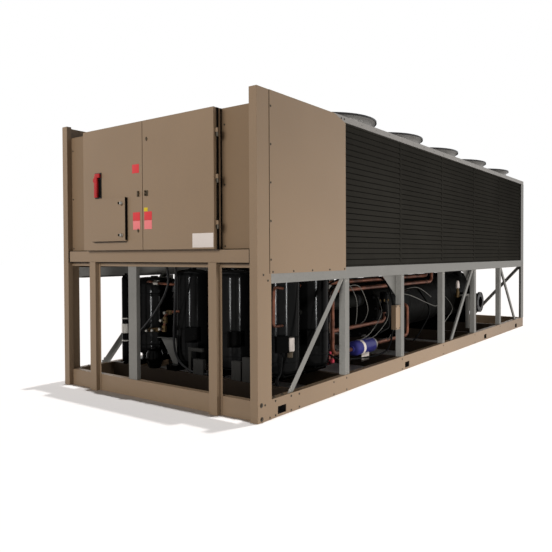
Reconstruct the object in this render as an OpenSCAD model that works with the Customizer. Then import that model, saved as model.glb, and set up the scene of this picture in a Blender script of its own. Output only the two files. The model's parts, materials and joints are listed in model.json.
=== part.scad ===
// Air cooled water chiller: a long steel frame with a control panel at the front end, louvred coils
// along both sides, a deck of fans on top, and compressors and an evaporator in the open lower bays.
// Millimetres, +Z up. The control panel faces -Y, and the origin lies under the middle of the unit.

/* [Overall frame] */
// Width over the sheet side panels of the control bay
unit_w = 2242; // [2100:1:2500]
// Length of the control bay, from the front of the posts to the first coil
front_bay = 1228; // [1200:1:1500]
// Length of one coil and fan module
module_l = 1118; // [1100:1:1300]
// Number of coil and fan modules along the unit
module_n = 5; // [3:1:6]
// Length of the end bay behind the last coil
rear_bay = 149; // [120:1:240]
// Height of the corner posts
post_h = 2330; // [2300:1:2600]
// Plate thickness of posts and beams
steel_t = 5; // [3:0.5:7]
// Thickness of the sheet panels
sheet_t = 3; // [2:0.5:4]

/* [Base frame] */
// Height of the base rails
rail_h = 140; // [120:1:180]
// Flange width of the base rails
rail_flange = 55; // [45:1:57]
// Web and flange thickness of the base rails
rail_t = 6; // [4:0.5:8]
// Set-back of the front base beam behind the posts
beam_set = 40; // [32:1:41]
// Flange width of the cross-members
cross_w = 45; // [40:1:60]
// Distance of the first cross-member from the front
first_cross = 500; // [400:1:560]
// Length of a lifting slot
lift_l = 104; // [80:1:120]
// Height of a lifting slot
lift_h = 56; // [40:1:70]
// Height of the lifting slots' middle above the ground
lift_z = 46; // [42:1:60]
// First lifting slot, from the front
lift_front = 290; // [240:1:380]
// Second lifting slot, from the start of the first coil
lift_second = 1245; // [1190:1:1500]
// Third lifting slot, from the rear end
lift_third = 1947; // [1800:1:2100]
// Last lifting slot, from the rear end
lift_last = 411; // [300:1:500]
// Diameter of the isolator bolt holes in the rails' lower flanges
foot_hole_d = 18; // [12:1:22]
// Distance of the isolator holes from the rails' outer face
foot_inset = 32; // [25:1:40]
// Distance of the first isolator hole from the front, and of the last from the rear
foot_end = 420; // [350:1:600]

/* [Front end] */
// Front face width of the corner posts
post_face = 68; // [62:1:80]
// Side face width of the corner posts
post_side = 160; // [150:1:190]
// Depth of the corner posts' inner lip
post_lip = 42; // [36:1:50]
// Underside of the beam below the control panel
beam_z = 1114; // [1085:1:1150]
// Height of the beam below the control panel
beam_h = 94; // [70:1:120]
// Set-back of that beam behind the posts
beam_back = 10; // [5:1:20]
// Height of the sill angle behind the front legs
sill_h = 36; // [25:1:45]
// Depth of the sill angle
sill_d = 55; // [52:1:70]
// Face width of the front legs
leg_w = 80; // [60:1:100]
// Distance of the front legs' middle from the centre line
leg_x = 700; // [600:1:750]
// Width of the front legs' rear lips
leg_lip = 20; // [12:1:30]
// Plate thickness of the front legs
leg_t = 4; // [3:0.5:5]
// Width of the galvanised centre post
centre_w = 100; // [80:1:120]
// Depth of the centre post
centre_d = 40; // [30:1:46]
// Position of the centre post's middle, left of the centre line
centre_x = 235; // [180:1:300]

/* [Control panel] */
// Width of the control box
box_w = 1516; // [1400:1:1700]
// Height of the control box
box_h = 1022; // [950:1:1080]
// Depth of the control box behind the posts' front
box_back = 330; // [250:1:400]
// Wall of the control box
box_t = 3; // [2:0.5:4]
// Width of the rim around the box opening
rim_w = 22; // [15:1:30]
// How far the doors stand in front of the posts
door_proud = 40; // [38:1:60]
// Depth of a door
door_t = 25; // [18:1:26]
// Sheet of a door
door_sheet = 3; // [2:0.5:4]
// Clearance between the doors, and between a door and the box
door_gap = 6; // [5:0.5:8]
// Radius of a door hinge
hinge_r = 8; // [6:0.5:9]
// Distance of the hinge axis from the side of the box
hinge_off = 14; // [13.5:0.5:20]
// Height of one hinge knuckle
knuckle_h = 30; // [20:1:40]
// Distance of the end hinges from the ends of the box
hinge_end = 150; // [100:1:200]
// Space between the two knuckles of a hinge
knuckle_gap = 0.3; // [0.2:0.1:0.5]
// Width of the mounting plate inside the box
plate_w = 1340; // [1100:1:1360]
// Height of the mounting plate
plate_h = 860; // [700:1:900]
// Length of the mounting plate's standoffs
standoff_l = 24; // [15:1:40]

/* [Door fittings] */
// Width of the access flap
flap_w = 425; // [300:1:450]
// Height of the access flap
flap_h = 353; // [280:1:370]
// Thickness of the access flap
flap_t = 12; // [8:1:18]
// Distance of the flap's hinged edge from the left edge of the door
flap_side = 148; // [130:1:250]
// Height of the flap above the bottom of the door
flap_rise = 71; // [40:1:80]
// Clearance behind the flap
flap_gap = 5; // [5:0.5:7]
// Radius of the flap hinge
flap_hinge_r = 5; // [4:0.5:6]
// Clearance around the flap hinge
flap_hinge_gap = 3; // [2.5:0.5:5]
// Radius of the quarter-turn fasteners
latch_r = 9; // [7:0.5:12]
// Height of the quarter-turn fasteners
latch_t = 7; // [5:0.5:9]
// Width of the disconnect switch's plate
switch_w = 84; // [70:1:100]
// Height of the disconnect switch's plate
switch_h = 215; // [190:1:225]
// Thickness of the disconnect switch's plate
switch_t = 6; // [4:1:10]
// Distance of the switch plate's middle from the left edge of the door
switch_side = 206; // [180:1:300]
// Space between the flap and the switch plate
switch_rise = 12; // [10:1:30]
// How far the switch lever stands out from the door
lever_reach = 48; // [40:1:60]
// Width of the switch lever
lever_w = 26; // [20:1:32]
// Thickness of the switch lever's grip
lever_t = 20; // [14:1:22]
// Length of the lever below its pivot
lever_l = 140; // [120:1:150]
// Radius of the lever's hub
lever_hub_r = 24; // [20:1:28]
// Width of a padlock hasp
hasp_w = 26; // [20:1:30]
// Height of a padlock hasp
hasp_h = 44; // [30:1:60]
// How far a hasp stands out from its door
hasp_d = 18; // [12:1:24]
// Height of the hasps above the bottom of the doors
hasp_rise = 422; // [350:1:520]
// Distance of fasteners and hasps from the doors' meeting edges
latch_edge = 52; // [40:1:70]
// Height of the left door's fastener above the bottom of the door
latch_low = 153; // [100:1:250]
// Distance of the right door's fastener below the top of the door
latch_high = 148; // [100:1:250]

/* [Upper frame] */
// Underside of the galvanised mid rails
mid_z = 965; // [900:1:980]
// Height of the mid rails
mid_h = 98; // [80:1:120]
// Flange width of the mid rails' top
mid_top = 93; // [90:1:110]
// Flange width of the mid rails' underside
mid_bottom = 50; // [45:1:60]
// Sheet thickness of mid rails, side posts and gussets
galv_t = 4; // [3:0.5:5]
// Face width of a side post
side_post_w = 70; // [55:1:80]
// Depth of a side post
side_post_d = 60; // [52:1:60]
// Set-back of the side posts behind the corner posts' side faces
side_post_set = 10; // [6:1:14]
// Distance of each side post in front of its coil joint
side_post_lead = 8; // [0:1:20]
// Side face width of the rear corner posts
rear_side = 145; // [110:1:148]
// Width of a diagonal brace, measured level
brace_w = 68; // [50:1:80]
// Thickness of a diagonal brace
brace_t = 5; // [4:0.5:6]
// Depth of a diagonal brace's inner leg
brace_leg = 34; // [25:1:36]
// Level run of a side brace
brace_run = 765; // [650:1:790]
// Level run of a rear brace
rear_brace_run = 750; // [600:1:760]
// Distance of the rear braces' upper ends from the base rails' outer faces
rear_brace_end = 20; // [10:1:60]
// Level length of a gusset
gusset_l = 300; // [200:1:360]
// Drop of a gusset along its post
gusset_h = 215; // [150:1:260]
// Height of the side panels' lower edge
skirt_z = 1035; // [1000:1:1050]
// Length of the cut-off corner of a side panel
corner_l = 183; // [120:1:220]
// Height of the cut-off corner of a side panel
corner_h = 52; // [40:1:80]
// Distance of a side panel's front edge behind the posts' front
panel_front = 143; // [120:1:148]
// Distance of a side panel's rear edge in front of the coil
panel_rear = 16; // [12:1:24]
// Depth of the side panels' rear return
panel_return = 30; // [20:1:40]

/* [Coils] */
// Depth of a coil panel
coil_d = 58; // [50:1:64]
// Set-back of the louvres behind the corner posts' side faces
coil_set = 15; // [10:1:18]
// Width of the stiles and rails around the louvres
coil_frame = 18; // [12:1:30]
// Space between two coil panels
coil_gap = 4; // [2:1:8]
// Number of louvres in a panel
louvre_n = 24; // [16:1:28]
// How far a louvre slopes outwards
louvre_out = 28; // [20:1:30]
// Height of the slot under a louvre
louvre_slot = 7; // [5:1:10]
// Depth of the slot behind a louvre
louvre_deep = 10; // [6:1:14]

/* [Fans] */
// Height of the deck's side edges
deck_edge = 45; // [35:1:60]
// Sheet of the deck
deck_t = 5; // [3:0.5:6]
// Set-back of the deck's edges behind the corner posts' side faces
deck_inset = 2; // [1:0.5:4]
// Overhang of the deck in front of the first coil
deck_front = 188; // [120:1:200]
// Joint between two deck panels
deck_joint = 2; // [1:0.5:4]
// Throat radius of a fan
fan_r = 452; // [400:1:455]
// Radius of a fan ring at its mouth
mouth_r = 496; // [480:1:505]
// Height of a fan ring
ring_h = 105; // [100:1:130]
// Wall of a fan ring
ring_t = 3; // [2:0.5:4]
// Width of a fan ring's foot
ring_foot = 42; // [30:1:50]
// Distance of the fans from the centre line
fan_x = 554; // [520:1:556]
// Bar width of a fan guard
guard_bar = 6; // [4:1:8]
// Number of rings in a fan guard
guard_rings = 4; // [3:1:6]
// Number of spokes in a fan guard
guard_spokes = 8; // [6:1:12]
// Radius of the plate in the middle of a guard
guard_plate_r = 75; // [50:1:100]
// Radius of a fan hub
hub_r = 105; // [80:1:130]
// Height of a fan hub
hub_h = 80; // [60:1:84]
// Clearance between the blade tips and the throat
tip_gap = 14; // [10:1:25]
// Number of blades of a fan
blade_n = 5; // [3:1:7]
// Chord of a blade at its tip
blade_tip = 190; // [140:1:200]
// Chord of a blade at its root
blade_root = 130; // [90:1:140]
// Angle of the blades
blade_pitch = 24; // [15:1:25]
// Thickness of a blade
blade_t = 5; // [3:0.5:6]
// Space between the deck and a fan hub
hub_gap = 12; // [10:1:15]
// Radius of a fan motor
motor_r = 90; // [70:1:100]
// Height of a fan motor
motor_h = 200; // [150:1:260]
// Radius of a motor's flange
motor_flange_r = 115; // [105:1:130]
// Thickness of a motor's flange
motor_flange_t = 12; // [8:1:16]
// Radius of a motor's shaft
shaft_r = 14; // [10:1:18]
// Width of a motor support bar
bar_w = 30; // [20:1:40]
// Thickness of a motor support bar
bar_t = 12; // [8:1:16]
// Distance of the support bars from a fan's middle
bar_off = 70; // [55:1:80]
// How far the support bars run under the deck
bar_seat = 20; // [12:1:40]

/* [Machinery] */
// Width of a compressor bearer
bearer_w = 120; // [90:1:160]
// Height of a compressor bearer
bearer_h = 50; // [40:1:70]
// Length of a compressor bearer
bearer_l = 900; // [880:1:1000]
// Radius of a compressor shell
comp_r = 170; // [140:1:172]
// Height of a compressor above its bearer
comp_h = 862; // [780:1:866]
// Side length of a compressor's foot plate
comp_foot = 300; // [260:1:310]
// Position of the middle compressor column, right of the centre line
comp_x = 240; // [220:1:260]
// Distance between compressor columns
comp_pitch = 500; // [470:1:520]
// Distance of the first compressor row from the first cross-member
comp_row = 280; // [240:1:300]
// Distance between the two compressor rows
row_pitch = 460; // [430:1:480]
// Width of a terminal box
term_w = 110; // [80:1:130]
// Height of a terminal box
term_h = 130; // [100:1:150]
// Depth of a terminal box outside the shell
term_d = 55; // [40:1:60]
// Height of a terminal box above the compressor's bearer
term_rise = 200; // [150:1:240]
// Angle by which the terminal boxes face forward of the unit's right-hand side
term_turn = 50; // [35:1:60]
// Radius of the receiver
receiver_r = 200; // [160:1:205]
// Height of the receiver
receiver_h = 780; // [640:1:800]
// Distance of the receiver from the centre line, to the left
receiver_x = 780; // [760:1:820]
// Radius of the suction accumulator
accum_r = 42; // [30:1:45]
// Height of the suction accumulator
accum_h = 860; // [600:1:900]
// Distance of the suction accumulator from the centre line, to the left
accum_x = 890; // [886:1:940]
// Radius of a cable conduit
conduit_r = 10; // [6:1:12]
// Radius of the evaporator shell
evap_r = 320; // [290:1:325]
// Height of the evaporator's axis
evap_z = 585; // [570:1:590]
// Position of the evaporator's axis, right of the centre line
evap_x = 380; // [340:1:420]
// Length of the evaporator
evap_l = 3200; // [3050:1:3400]
// Distance of the evaporator behind the start of the first coil
evap_start = 1372; // [1340:1:1500]
// Radius of the evaporator's end flanges
head_r = 335; // [330:1:338]
// Thickness of the evaporator's end flanges
head_t = 40; // [25:1:60]
// Width of an evaporator saddle
saddle_w = 520; // [420:1:560]
// Thickness of an evaporator saddle
saddle_t = 40; // [20:1:40]
// Radius of a water nozzle
nozzle_r = 84; // [60:1:90]
// Bore radius of a water nozzle
nozzle_bore = 77; // [50:1:79]
// Depth of the open bore behind a nozzle's face
nozzle_depth = 300; // [200:1:320]
// Radius of a nozzle flange
flange_r = 140; // [136:1:150]
// Thickness of a nozzle flange
flange_t = 25; // [15:1:30]
// Bolt circle diameter of a nozzle flange
flange_pcd = 241.3; // [225:0.1:250]
// Diameter of the flange bolt holes
flange_hole_d = 22; // [16:1:24]
// Number of flange bolt holes
flange_hole_n = 8; // [4:4:8]
// Distance of a nozzle's face from the centre line
nozzle_x = 1000; // [900:1:1020]
// Distance of the inlet nozzle behind the front end of the evaporator
inlet_place = 232; // [200:1:300]
// Distance of the outlet nozzle before the rear end of the evaporator
outlet_place = 632; // [560:1:660]
// Height of the shell's axis above the nozzles
nozzle_drop = 85; // [60:1:110]
// Radius of the insulated suction header
suction_r = 45; // [35:1:48]
// Radius of the insulated main suction pipe
main_r = 70; // [55:1:75]
// Height of the suction pipes
suction_z = 670; // [650:1:690]
// Radius of a suction stub
stub_r = 25; // [18:1:30]
// Radius of the copper pipes
copper_r = 21; // [14:1:24]
// Drop of the hot gas pipes' axis below the tops of the compressors
gas_drop = 152; // [140:1:170]
// Distance of the hot gas pipe from the centre line, behind its turn
gas_x = 690; // [670:1:700]
// Turn of the hot gas pipe, behind the start of the first coil
gas_turn = 272; // [250:1:300]
// Rear end of the hot gas and liquid pipes, behind the start of the first coil
gas_end = 2780; // [2500:1:3000]
// Distance of the liquid pipes from the centre line
liquid_x = 750; // [720:1:800]
// Height of the upper liquid pipe
liquid_z = 828; // [800:1:840]
// Distance of the liquid riser behind the start of the first coil
riser_s = 372; // [330:1:420]
// Height of the liquid branch to the evaporator
branch_z = 450; // [420:1:480]
// Distance of the driers' outlet risers behind the start of the first coil
outlet_s = 2052; // [1980:1:2120]
// Radius of a filter drier
drier_r = 75; // [60:1:85]
// Length of a filter drier
drier_l = 470; // [400:1:500]
// Height of a filter drier's axis
drier_z = 232; // [230:1:260]
// Distance of the filter driers behind the start of the first coil
drier_s = 727; // [680:1:740]
// Width of the junction box, along the unit
junction_w = 100; // [70:1:130]
// Height of the junction box
junction_h = 240; // [180:1:300]
// Depth of the junction box
junction_d = 50; // [40:1:56]
// Height of the junction box's underside
junction_z = 420; // [350:1:480]

/* [Hidden] */
$fn = 64;
// Overlap of a cutting shape past the surface that it cuts
cut = 1;
tan_paint = [0.55, 0.46, 0.37];
galvanised = [0.53, 0.52, 0.50];
charcoal = [0.20, 0.19, 0.18];
black_paint = [0.07, 0.07, 0.07];
copper_tone = [0.62, 0.34, 0.21];
half_w = unit_w / 2;
frame_l = front_bay + module_n * module_l + rear_bay;
front_reach = door_proud + lever_reach;
// Place of the corner posts' front faces, so that the whole unit is centred on Y
front_y = -(frame_l - front_reach) / 2;
face_x = half_w - sheet_t;
rail_x = face_x - steel_t;
lip_x = face_x - post_face;
lip_end = steel_t + post_lip;
flange_x = rail_x - rail_flange;
panel_z = beam_z + beam_h;
box_top = panel_z + box_h;
door_back = -(door_proud - door_t);
box_front = door_back + door_gap;
hinge_x = box_w / 2 + hinge_off;
door_z = panel_z + door_gap;
door_h = box_top - door_z;
door_w = box_w / 2 - door_gap / 2;
flap_x = -box_w / 2 + flap_side;
flap_z = door_z + flap_rise;
flap_back = -door_proud - flap_gap;
flap_axis_x = flap_x - flap_hinge_r - flap_hinge_gap;
flap_axis_s = -door_proud - flap_hinge_r - door_sheet / 2;
switch_x = -box_w / 2 + switch_side;
switch_z = flap_z + flap_h + switch_rise;
pivot_z = switch_z + lever_l + lever_w / 2;
mid_top_z = mid_z + mid_h;
side_post_x = face_x - side_post_set;
coil_x = face_x - coil_set;
coil_in = coil_x - coil_d;
deck_z = post_h;
deck_top = deck_z + deck_t;
coil_top = deck_z - deck_edge;
coil_h = coil_top - mid_top_z;
deck_x = face_x - deck_inset;
guard_z = deck_top + ring_h;
tip_r = sqrt(pow(fan_r - tip_gap, 2) - pow(blade_tip / 2, 2));
bearer_z = rail_h + bearer_h;
comp_top = bearer_z + comp_h;
gas_z = comp_top - gas_drop;
comp_s = first_cross + comp_row;
header_s = comp_s + row_pitch / 2;
evap_s = front_bay + evap_start;
evap_end = evap_s + evap_l;
rear_plate_s = frame_l - steel_t;
bulk_s = front_bay - sheet_t - deck_joint / 2;
rear_panel_s = rear_plate_s - galv_t - sheet_t;
function side_post_s(k) = front_bay - side_post_lead + k * module_l;
function fan_s(k) = front_bay + (k + 0.5) * module_l;
lift_places = [lift_front, front_bay + lift_second, frame_l - lift_third, frame_l - lift_last];
foot_places = [foot_end, frame_l / 2, frame_l - foot_end];
// Middle of the first cross-member, where the accumulator stands and the conduits end
seat_s = first_cross + cross_w / 2;
// Place under the beam behind the control panel, where the conduits come out
gland_s = box_back - cross_w / 2;
// Clearance between a conduit's end and the piece that it meets
conduit_gap = 0.9;
// Route of the conduit to the accumulator
sensor_route = [[-95, gland_s, beam_z - conduit_gap], [-95, gland_s, beam_z - 60], [-110, 330, 930],
    [-215, 370, 800], [-415, 430, 630], [-645, 490, 475], [-780, seat_s, 410],
    [-accum_x + accum_r + conduit_gap, seat_s, 400]];
// Route of the conduit to the compressors' bearer, along the first cross-member
power_route = [[10, gland_s, beam_z - conduit_gap], [10, gland_s, beam_z - 60], [-5, 318, 970],
    [-55, 360, 830], [-180, 460, 425], [-190, 500, 285], [-145, 520, 205],
    [-25, seat_s, rail_h + conduit_r + 6], [90, seat_s, rail_h + conduit_r + 2],
    [comp_x - bearer_w / 2 - conduit_gap, seat_s, rail_h + conduit_r + 2]];
evap_seats = [for (k = [1 : module_n - 1])
    if (side_post_s(k) > evap_s + head_t && side_post_s(k) + saddle_t < evap_end - head_t) side_post_s(k)];

// Shapes used by several pieces

// Children measured from the front faces of the corner posts
module from_front() {
    translate([0, front_y, 0]) children();
}

module both_sides() {
    children();
    mirror([1, 0, 0]) children();
}

// A flat outline in X and Z, drawn out along the unit from s
module along_y(s, l) {
    translate([0, s + l, 0]) rotate([90, 0, 0]) linear_extrude(l) children();
}

// A flat outline in Y and Z, drawn out across the unit from x
module along_x(x, l) {
    translate([x, 0, 0]) rotate([90, 0, 90]) linear_extrude(l) children();
}

// Channel along Y: web on the outside at x, flanges towards the middle
module channel_y(x, s, z, l, h, top, bottom, t) {
    translate([x - t, s, z]) cube([t, l, h]);
    translate([x - top, s, z + h - t]) cube([top, l, t]);
    translate([x - bottom, s, z]) cube([bottom, l, t]);
}

// Channel along X over a width w: web at s, flanges towards the rear for a positive depth
module channel_x(w, s, z, h, depth, t) {
    translate([-w / 2, depth > 0 ? s : s - t, z]) cube([w, t, h]);
    for (level = [z, z + h - t])
        translate([-w / 2, min(s, s + depth), level]) cube([w, abs(depth), t]);
}

// Round pipe between two points that differ along one axis
module pipe(a, b, r) {
    d = b - a;
    turn = abs(d[0]) > 0 ? [0, 90 * sign(d[0]), 0] : abs(d[1]) > 0 ? [-90 * sign(d[1]), 0, 0] :
        d[2] < 0 ? [180, 0, 0] : [0, 0, 0];
    translate(a) rotate(turn) cylinder(r = r, h = norm(d));
}

// Pipe through a row of points, with a ball in each elbow
module pipe_run(points, r) {
    for (i = [1 : len(points) - 1])
        pipe(points[i - 1], points[i], r);
    for (i = [1 : 1 : len(points) - 2])
        translate(points[i]) sphere(r);
}

// Base frame

module lifting_slot(s) {
    translate([rail_x - rail_t - cut, s - lift_l / 2, lift_z - lift_h / 2])
        cube([rail_t + 2 * cut, lift_l, lift_h]);
}

module side_rails() {
    color(tan_paint) from_front() both_sides() difference() {
        channel_y(rail_x, steel_t, 0, frame_l - steel_t, rail_h, rail_flange, rail_flange, rail_t);
        for (s = lift_places) lifting_slot(s);
        for (s = foot_places) translate([rail_x - foot_inset, s, -cut])
            cylinder(d = foot_hole_d, h = rail_t + 2 * cut);
    }
}

module front_base_beam() {
    color(tan_paint) from_front() channel_x(2 * lip_x, beam_set, 0, rail_h, rail_flange, rail_t);
}

module rear_base_beam() {
    color(tan_paint) from_front() channel_x(2 * flange_x, frame_l, 0, rail_h, -rail_flange, rail_t);
}

module cross_members() {
    color(tan_paint) from_front() {
        channel_x(2 * flange_x, first_cross, 0, rail_h, cross_w, rail_t);
        for (k = [0 : module_n - 1])
            channel_x(2 * flange_x, side_post_s(k), 0, rail_h, cross_w, rail_t);
    }
}

// Front end

module front_posts() {
    color(tan_paint) from_front() both_sides() {
        translate([lip_x, 0, 0]) cube([post_face, steel_t, post_h]);
        translate([rail_x, 0, 0]) cube([steel_t, post_side, post_h]);
        translate([lip_x, 0, 0]) cube([steel_t, lip_end, post_h]);
    }
}

module front_legs() {
    color(tan_paint) from_front() both_sides() linear_extrude(beam_z) {
        translate([leg_x - leg_w / 2, 0]) square([leg_w, leg_t]);
        for (side = [-1, 1]) {
            translate([leg_x + side * (leg_w - leg_t) / 2 - leg_t / 2, 0]) square([leg_t, beam_set]);
            translate([side > 0 ? leg_x + leg_w / 2 - leg_t : leg_x - leg_w / 2 - leg_lip,
                beam_set - leg_t]) square([leg_lip + leg_t, leg_t]);
        }
    }
}

module panel_beam() {
    color(tan_paint) from_front()
        channel_x(2 * lip_x, beam_back, beam_z, beam_h, lip_end - beam_back, galv_t);
}

module panel_sill() {
    color(tan_paint) from_front() {
        translate([-lip_x, beam_set, beam_z - sill_h]) cube([2 * lip_x, galv_t, sill_h]);
        translate([-lip_x, beam_set, beam_z - galv_t]) cube([2 * lip_x, sill_d, galv_t]);
    }
}

module panel_rear_beam() {
    color(tan_paint) from_front()
        channel_x(2 * face_x, box_back, beam_z, beam_h, -cross_w, galv_t);
}

module centre_post() {
    color(galvanised) from_front() translate([-centre_x - centre_w / 2, beam_set + rail_t, rail_h])
        linear_extrude(beam_z - galv_t - rail_h) difference() {
            square([centre_w, centre_d]);
            translate([galv_t, galv_t]) square([centre_w - 2 * galv_t, centre_d]);
        }
}

module infill_panels() {
    color(tan_paint) from_front() both_sides() {
        translate([box_w / 2, lip_end, panel_z]) cube([rail_x - box_w / 2, sheet_t, box_h]);
        translate([box_w / 2, lip_end, box_top - sheet_t])
            cube([rail_x - box_w / 2, panel_return, sheet_t]);
    }
}

module side_panels() {
    rear_s = front_bay - panel_rear;
    color(tan_paint) from_front() both_sides() {
        along_x(face_x, sheet_t) polygon([
            [panel_front, skirt_z], [rear_s, skirt_z], [rear_s, post_h - corner_h],
            [rear_s - corner_l, post_h], [panel_front, post_h]]);
        translate([half_w - panel_return, rear_s - sheet_t, mid_top_z])
            cube([panel_return, sheet_t, post_h - corner_h - mid_top_z]);
    }
}

// Control panel

module control_box() {
    color(tan_paint) from_front() {
        difference() {
            translate([-box_w / 2, box_front, panel_z]) cube([box_w, box_back - box_front, box_h]);
            translate([-box_w / 2 + box_t, box_front - cut, panel_z + box_t])
                cube([box_w - 2 * box_t, box_back - box_front + cut - box_t, box_h - 2 * box_t]);
        }
        difference() {
            translate([-box_w / 2, box_front, panel_z]) cube([box_w, box_t, box_h]);
            translate([-box_w / 2 + rim_w, box_front - cut, panel_z + rim_w])
                cube([box_w - 2 * rim_w, box_t + 2 * cut, box_h - 2 * rim_w]);
        }
    }
}

module mounting_plate() {
    plate_s = box_back - box_t - standoff_l;
    plate_mid = panel_z + box_h / 2;
    color(galvanised) from_front() {
        translate([-plate_w / 2, plate_s - sheet_t, plate_mid - plate_h / 2])
            cube([plate_w, sheet_t, plate_h]);
        for (x = [-1, 1], z = [-1, 1])
            translate([x * (plate_w / 2 - rim_w), plate_s, plate_mid + z * (plate_h / 2 - rim_w)])
                rotate([-90, 0, 0]) cylinder(r = hinge_r, h = standoff_l);
    }
}

// Heights of the hinges on the box
function hinge_z(i) = panel_z + hinge_end + i * (box_h - 2 * hinge_end - 2 * knuckle_h) / 2;

module door_hinges() {
    color(tan_paint) from_front() both_sides() for (i = [0 : 2]) {
        translate([hinge_x, door_back, hinge_z(i)]) cylinder(r = hinge_r, h = knuckle_h);
        translate([box_w / 2, box_front, hinge_z(i)]) cube([hinge_off, steel_t, knuckle_h]);
        translate([box_w / 2, box_front, hinge_z(i)]) cube([steel_t, post_lip / 2, knuckle_h]);
    }
}

// Right-hand door: a folded tray with the upper knuckles of its hinges
module door() {
    difference() {
        translate([door_gap / 2, -door_proud, door_z]) cube([door_w, door_t, door_h]);
        translate([door_gap / 2 + door_sheet, -door_proud + door_sheet, door_z + door_sheet])
            cube([door_w - 2 * door_sheet, door_t, door_h - 2 * door_sheet]);
    }
    for (i = [0 : 2]) translate([0, 0, hinge_z(i) + knuckle_h + knuckle_gap]) {
        translate([hinge_x, door_back, 0]) cylinder(r = hinge_r, h = knuckle_h);
        translate([box_w / 2 - door_sheet, door_back - hinge_r, 0])
            cube([hinge_off + door_sheet, steel_t, knuckle_h]);
    }
}

module right_door() {
    color(tan_paint) from_front() door();
}

module left_door() {
    color(tan_paint) from_front() {
        mirror([1, 0, 0]) door();
        for (end = [0, 1]) translate([0, 0, flap_z + end * (flap_h - 3 * knuckle_h) + knuckle_h / 2]) {
            translate([flap_axis_x, flap_axis_s, 0]) cylinder(r = flap_hinge_r, h = knuckle_h);
            translate([flap_axis_x - flap_hinge_r / 2, flap_axis_s, 0])
                cube([flap_hinge_r, -door_proud - flap_axis_s + door_sheet / 2, knuckle_h]);
        }
    }
}

// Quarter-turn fastener on a surface at s, with a wing across its head
module fastener(x, s, z) {
    translate([x, s, z]) rotate([90, 0, 0]) {
        cylinder(r = latch_r, h = latch_t);
        translate([-latch_r / 3, -latch_r * 1.6, 0]) cube([latch_r / 1.5, latch_r * 3.2, latch_t]);
    }
}

// Padlock hasp on the right-hand door: an upright tab with an eye
module hasp() {
    translate([latch_edge - hasp_w / 2, -door_proud, door_z + hasp_rise]) difference() {
        union() {
            translate([0, -sheet_t, 0]) cube([hasp_w, sheet_t, hasp_h]);
            translate([0, -hasp_d, 0]) cube([sheet_t, hasp_d, hasp_h]);
        }
        translate([-cut, -hasp_d / 2 - sheet_t / 2, hasp_h / 2]) rotate([0, 90, 0])
            cylinder(r = hasp_d / 4, h = sheet_t + 2 * cut);
    }
}

module left_door_latches() {
    color("silver") from_front() {
        fastener(-latch_edge, -door_proud, door_z + latch_low);
        mirror([1, 0, 0]) hasp();
    }
}

module right_door_latches() {
    color("silver") from_front() {
        fastener(latch_edge, -door_proud, door_z + door_h - latch_high);
        hasp();
    }
}

module access_flap() {
    color(tan_paint) from_front() {
        difference() {
            translate([flap_x, flap_back - flap_t, flap_z]) cube([flap_w, flap_t, flap_h]);
            translate([flap_x + door_sheet, flap_back - flap_t + door_sheet, flap_z + door_sheet])
                cube([flap_w - 2 * door_sheet, flap_t, flap_h - 2 * door_sheet]);
        }
        for (end = [0, 1])
            translate([0, 0, flap_z + end * (flap_h - 3 * knuckle_h) + 1.5 * knuckle_h + knuckle_gap]) {
                translate([flap_axis_x, flap_axis_s, 0]) cylinder(r = flap_hinge_r, h = knuckle_h);
                translate([flap_axis_x, flap_axis_s - flap_hinge_r, 0])
                    cube([flap_x - flap_axis_x + door_sheet / 2, door_sheet, knuckle_h]);
            }
        for (end = [0.14, 0.86])
            fastener(flap_x + flap_w - latch_edge, flap_back - flap_t, flap_z + end * flap_h);
    }
}

module switch_plate() {
    color(black_paint) from_front()
        translate([switch_x - switch_w / 2, -door_proud - switch_t, switch_z])
            cube([switch_w, switch_t, switch_h]);
}

module switch_lever() {
    hub_x = switch_x - switch_w / 2 + lever_hub_r;
    stand = lever_reach - switch_t - knuckle_gap;
    color("firebrick") from_front() translate([hub_x, -front_reach, pivot_z]) {
        translate([-lever_w / 2, 0, -lever_l]) cube([lever_w, lever_t, lever_l + lever_hub_r]);
        rotate([-90, 0, 0]) cylinder(r = lever_hub_r, h = stand);
    }
}

// Upper frame

module mid_rails() {
    color(galvanised) from_front() both_sides()
        channel_y(face_x, post_side, mid_z, frame_l - rear_side - post_side, mid_h, mid_top, mid_bottom,
            galv_t);
}

module rear_mid_rail() {
    color(galvanised) from_front()
        channel_x(2 * rail_x, rear_plate_s, mid_z, mid_h, -mid_bottom, galv_t);
}

module side_posts() {
    color(galvanised) from_front() both_sides() for (k = [0 : module_n - 1])
        translate([side_post_x - side_post_d, side_post_s(k), rail_h])
            linear_extrude(mid_z - rail_h) difference() {
                square([side_post_d, side_post_w]);
                translate([galv_t, galv_t]) square([side_post_d - 2 * galv_t, side_post_w]);
            }
}

module rear_posts() {
    color(galvanised) from_front() both_sides() translate([0, 0, rail_h])
        linear_extrude(coil_top - rail_h) {
            translate([rail_x, frame_l - rear_side]) square([steel_t, rear_side]);
            translate([face_x - post_face, rear_plate_s]) square([post_face, steel_t]);
        }
}

// Leaning bar between the base rail and the mid rail, cut level at both ends
module brace(start, run) {
    polygon([[start, rail_h], [start + brace_w, rail_h], [start + run + brace_w, mid_z],
        [start + run, mid_z]]);
}

// The narrow inner leg along the lower edge of a leaning bar
module brace_edge(start, run) {
    edge = brace_t * 1.4;
    polygon([[start + brace_w - edge, rail_h], [start + brace_w, rail_h],
        [start + run + brace_w, mid_z], [start + run + brace_w - edge, mid_z]]);
}

module side_brace(start, run) {
    brace_x = side_post_x - side_post_set - brace_t;
    along_x(brace_x, brace_t) brace(start, run);
    along_x(brace_x - brace_leg, brace_leg + brace_t) brace_edge(start, run);
}

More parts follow.
